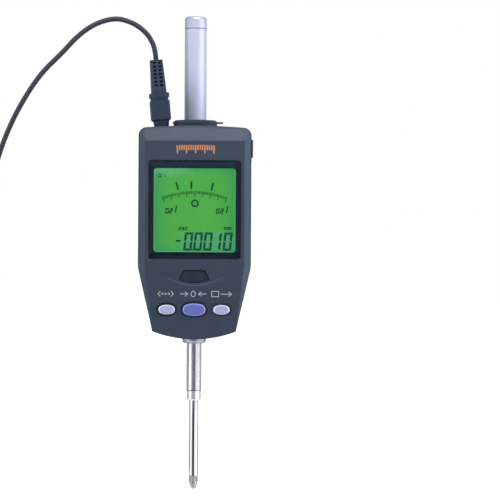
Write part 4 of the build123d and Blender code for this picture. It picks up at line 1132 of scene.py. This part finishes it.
def tie_round(lead):
    """Strap drawn tight round the coil's bundle."""
    low, high = corners("cord_tie")
    inner = bundle_outline(lead)
    outer = wider(inner, TIE_THICKNESS)
    bm = bmesh.new()
    section = ((inner, low.y), (outer, low.y), (outer, high.y), (inner, high.y))
    rings = [[bm.verts.new((p.x, y, p.y)) for p in line] for line, y in section]
    for near, far in zip(rings, rings[1:] + rings[:1]):
        bridge(bm, near, far)
    return finished("cord_tie_strap", bm, FINISHES["tie_strap"])


class INDICATOR_OT_lead(bpy.types.Operator):
    """Lay the power lead as one curve from the plug through its coil to the adapter"""

    bl_idname = "indicator.lead"
    bl_label = "Power lead"

    def execute(self, context):
        curve = bpy.data.curves.new("power_lead", "CURVE")
        curve.dimensions = "3D"
        curve.bevel_depth = CORD_D / 2 * MM
        curve.bevel_resolution = 3
        curve.resolution_u = 6
        curve.use_fill_caps = True
        spline = curve.splines.new("NURBS")
        route = lead_route()
        spline.points.add(len(route) - 1)
        for point, place in zip(spline.points, route):
            point.co = (*(c * MM for c in place), 1.0)
        spline.order_u = 3
        spline.use_endpoint_u = True
        curve.materials.append(FINISHES["cord_sheath"])
        lead = linked("power_lead", curve)
        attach(lead, "housing")
        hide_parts("power_cord", "cord_coil", "adapter_lead")
        tie = tie_round(lead)
        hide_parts("cord_tie")
        return {"FINISHED"}


WIRE_D = 0.5
SPRING_TURNS = 6
TURN_STEPS = 32
WIRE_SIDES = 8


class INDICATOR_OT_spring(bpy.types.Operator):
    """Wind the return spring at full length; the real one shortens as the spindle rises"""

    bl_idname = "indicator.spring"
    bl_label = "Return spring"

    def execute(self, context):
        low, high = corners("return_spring")
        radius = (high.x - low.x) / 2 - WIRE_D / 2
        foot, top = low.z + WIRE_D / 2, high.z - WIRE_D / 2
        count = SPRING_TURNS * TURN_STEPS
        rise = math.atan2((top - foot) / SPRING_TURNS, 2 * math.pi * radius)
        bm = bmesh.new()
        rings = []
        for k in range(count + 1):
            turn = 2 * math.pi * k / TURN_STEPS
            out = Vector((math.cos(turn), math.sin(turn), 0))
            level = Vector((-math.sin(turn), math.cos(turn), 0))
            up = out.cross(level * math.cos(rise) + Vector((0, 0, math.sin(rise))))
            middle = out * radius + Vector((0, 0, foot + (top - foot) * k / count))
            around = oval(0, 0, WIRE_D, WIRE_D, WIRE_SIDES)
            rings.append([bm.verts.new(middle + out * u + up * v) for u, v in around])
        for near, far in zip(rings, rings[1:]):
            bridge(bm, near, far)
        for end in (rings[0], rings[-1]):
            bm.faces.new(end)
        for face in bm.faces:
            face.smooth = len(face.verts) == 4
        spring = finished("return_spring_wound", bm, FINISHES["fastener_steel"])
        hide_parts("return_spring")
        joint = next(j for j in frame["record"]["behaviour"]["joints"] if j["name"] == "spindle_slide")
        fixed = joint["deforming_nodes"][0]["fixed_end_z_m"]
        keep = 1 - joint["range_m"][1] / (fixed - low.z * MM)
        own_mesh(spring)
        return {"FINISHED"}


PIXELS = 500
AXIS_PIXEL = (193.6, 367.5)
PIXELS_PER_MM = 1.8875
LEAN_PER_PIXEL = 0.0058
CAMERA_TURN = math.radians(-0.7)
SENSOR = 36.0
# name, azimuth from the front and elevation in degrees, then width, height, middle height and
# distance in metres, and shade
CARDS = (
    ("card_grey", -31, 0, 0.19, 0.39, 0.145, 0.6, (0.55, 0.55, 0.63)),
    ("card_spindle", -31, 0, 0.19, 0.45, -0.275, 0.6, (0.16, 0.16, 0.2)),
    ("card_dark", -2.5, 0, 0.42, 0.62, -0.19, 0.6, (0.035, 0.035, 0.05)),
    ("card_tube_grey", 16, 0, 0.36, 0.5, 0.37, 0.6, (0.14, 0.14, 0.17)),
    ("card_foot_left", -42, 0, 0.82, 0.2, 0.1, 0.55, (0.1, 0.1, 0.13)),
    ("card_stem_dark", 4.5, 0, 0.41, 0.16, 0.03, 0.5, (0.13, 0.13, 0.15)),
    ("card_stem_bright", -54, 0, 0.17, 0.16, 0.03, 0.5, (1.5, 1.5, 1.5)),
    ("card_stem_white", 71, 0, 0.31, 0.16, 0.03, 0.5, (0.95, 0.95, 0.98)),
    ("card_stem_left", -96, 0, 0.2, 0.16, 0.03, 0.5, (0.15, 0.15, 0.16)),
    ("card_stem_right", 100, 0, 0.2, 0.16, 0.03, 0.5, (0.65, 0.65, 0.68)),
    ("card_left_bright", -75, 0, 0.30, 1.2, 0.1, 0.7, (1.45, 1.48, 1.55)),
    ("card_right_bright", 75, 0, 0.36, 0.62, -0.19, 0.7, (3.0, 3.0, 3.1)),
    ("card_tube_bright", 75, 0, 0.36, 0.58, 0.41, 0.7, (1.6, 1.6, 1.75)),
    ("card_left_dull", -138, 0, 1.3, 1.2, 0.1, 0.75, (0.46, 0.46, 0.52)),
    ("card_right_dull", 139, 0, 1.26, 0.62, -0.19, 0.75, (0.4, 0.4, 0.46)),
    ("card_tube_dull", 139, 0, 1.26, 0.58, 0.41, 0.75, (0.85, 0.85, 0.95)),
    ("card_top", 12, 42, 0.9, 0.34, 0.1, 0.7, (5.6, 5.6, 5.8)),
)
# name, place and size in metres, power in watts
LAMPS = (
    ("lamp_left", (-1.2, -0.32, 0.35), (0.6, 1.0), 12.6),
    ("lamp_right", (1.2, -0.3, 0.3), (0.6, 1.0), 16.0),
    ("lamp_front", (-0.25, -0.95, 1.0), (0.9, 0.7), 5.8),
)
LAMP_AIM = (0, 0, 0.06)
AMBIENT = 0.26
FLOOR_R = 6.0
# Millimetres from the middle over which the floor's glow grows, then its least and what is added.
FLOOR_FADE = (350.0, 900.0)
FLOOR_GLOW = (0.55, 0.5)


def seen_rays(board):
    """1 for rays from the camera, a gloss or a see-through surface."""
    path = board.outputs("ShaderNodeLightPath")
    return board.clamped(path["Is Camera Ray"] + path["Is Glossy Ray"] + path["Is Transmission Ray"])


def facing(place, aim, axis):
    """Matrix of an object at a place whose axis points at aim."""
    turn = (Vector(aim) - Vector(place)).to_track_quat(axis, "Y")
    return Matrix.Translation(place) @ turn.to_matrix().to_4x4()


def flat(name, outline, matrix, material):
    """Flat piece of the stage."""
    mesh = bpy.data.meshes.new(name)
    mesh.from_pydata([(u, v, 0) for u, v in outline], [], [range(len(outline))])
    mesh.materials.append(material)
    piece = linked(name, mesh)
    piece.matrix_world = matrix
    return piece


def lamp(name, place, aim, size, power):
    data = bpy.data.lights.new(name, "AREA")
    data.shape = "RECTANGLE"
    data.size, data.size_y = size
    data.energy = power
    light = linked(name, data)
    light.matrix_world = facing(place, aim, "-Z")
    return light


class INDICATOR_OT_stage(bpy.types.Operator):
    """Set the floor, the reflected cards, the lamps, the world and the camera"""

    bl_idname = "indicator.stage"
    bl_label = "Stage and camera"

    def execute(self, context):
        _, sizes = settings()
        scene = context.scene

        f = Finish("studio_floor")
        far = f.step(f.length(f.place), *FLOOR_FADE)
        diffuse = f.node("ShaderNodeBsdfDiffuse", {}, {"Color": (0.8, 0.8, 0.8, 1)})
        strength = seen_rays(f) * (far * FLOOR_GLOW[1] + FLOOR_GLOW[0])
        glow = f.node("ShaderNodeEmission", {}, {"Strength": strength})
        material = f.result(f.node("ShaderNodeAddShader", {}, {0: diffuse, 1: glow}))
        outline = oval(0, 0, 2 * FLOOR_R, 2 * FLOOR_R, 64)
        floor = flat("studio_floor", outline, Matrix.Translation((0, 0, CAD_BOX[0].z)), material)
        floor.visible_glossy = False

        for name, azimuth, elevation, width, height, rise, distance, shade in CARDS:
            f = Finish(name)
            material = f.result(f.node("ShaderNodeEmission", {}, {"Color": (*shade, 1)}))
            turn, lift = math.radians(azimuth), math.radians(elevation)
            aim = Vector((0, 0, rise))
            level = math.cos(lift)
            out = Vector((math.sin(turn) * level, -math.cos(turn) * level, math.sin(lift)))
            u, v = width / 2, height / 2
            outline = ((-u, -v), (u, -v), (u, v), (-u, v))
            card = flat(name, outline, facing(aim + out * distance, aim, "Z"), material)
            for rays in ("camera", "diffuse", "shadow", "transmission"):
                setattr(card, "visible_" + rays, False)

        for name, place, size, power in LAMPS:
            lamp(name, place, LAMP_AIM, size, power).visible_glossy = False

        world = bpy.data.worlds.new("studio")
        world.use_nodes = True
        world.node_tree.nodes.clear()
        b = Board(world.node_tree)
        strength = seen_rays(b) * (1 - AMBIENT) + AMBIENT
        shade = b.node("ShaderNodeBackground", {}, {"Color": (1, 1, 1, 1), "Strength": strength})
        b.node("ShaderNodeOutputWorld", {}, {"Surface": shade})
        scene.world = world

        scene.view_settings.view_transform = "Standard"
        data = bpy.data.cameras.new("camera")
        data.sensor_width = SENSOR
        data.lens = sizes.lens
        camera = linked("camera", data)
        scene.camera = camera
        across = PIXELS / 2 - AXIS_PIXEL[0]
        down = PIXELS / 2 - AXIS_PIXEL[1]
        x = (across + down * LEAN_PER_PIXEL) / PIXELS_PER_MM
        z = (-down + across * LEAN_PER_PIXEL) / PIXELS_PER_MM
        plane_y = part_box("front_housing")[0].y / 2
        place = Vector((x * MM, plane_y - sizes.field * sizes.lens / SENSOR, z * MM))
        camera.location = Matrix.Rotation(CAMERA_TURN, 3, "Z") @ place
        camera.rotation_euler = (math.pi / 2, -math.atan(LEAN_PER_PIXEL), CAMERA_TURN)
        data.clip_start, data.clip_end = 0.05, 20.0
        return {"FINISHED"}


class INDICATOR_PT_panel(bpy.types.Panel):
    """Shows the colours, the sizes and a button for each step"""

    bl_idname = "INDICATOR_PT_panel"
    bl_label = "Digital dial indicator"
    bl_space_type = "VIEW_3D"
    bl_region_type = "UI"
    bl_category = "Indicator"

    def draw(self, context):
        for group in settings():
            box = self.layout.box()
            for name in group.bl_rna.properties.keys():
                if name not in ("rna_type", "name"):
                    box.prop(group, name)
        for operator in OPERATORS:
            self.layout.operator(operator.bl_idname)


OPERATORS = (
    INDICATOR_OT_finishes,
    INDICATOR_OT_display,
    INDICATOR_OT_prints,
    INDICATOR_OT_lead,
    INDICATOR_OT_spring,
    INDICATOR_OT_stage,
)
CLASSES = (IndicatorColours, IndicatorSizes, *OPERATORS, INDICATOR_PT_panel)


def register():
    for made in CLASSES:
        bpy.utils.register_class(made)
    bpy.types.Scene.indicator_colours = bpy.props.PointerProperty(type=IndicatorColours)
    bpy.types.Scene.indicator_sizes = bpy.props.PointerProperty(type=IndicatorSizes)


def unregister():
    del bpy.types.Scene.indicator_sizes
    del bpy.types.Scene.indicator_colours
    for made in reversed(CLASSES):
        bpy.utils.unregister_class(made)


def main():
    register()
    for operator in OPERATORS:
        group, name = operator.bl_idname.split(".")
        getattr(getattr(bpy.ops, group), name)()


if __name__ == "__main__":
    main()
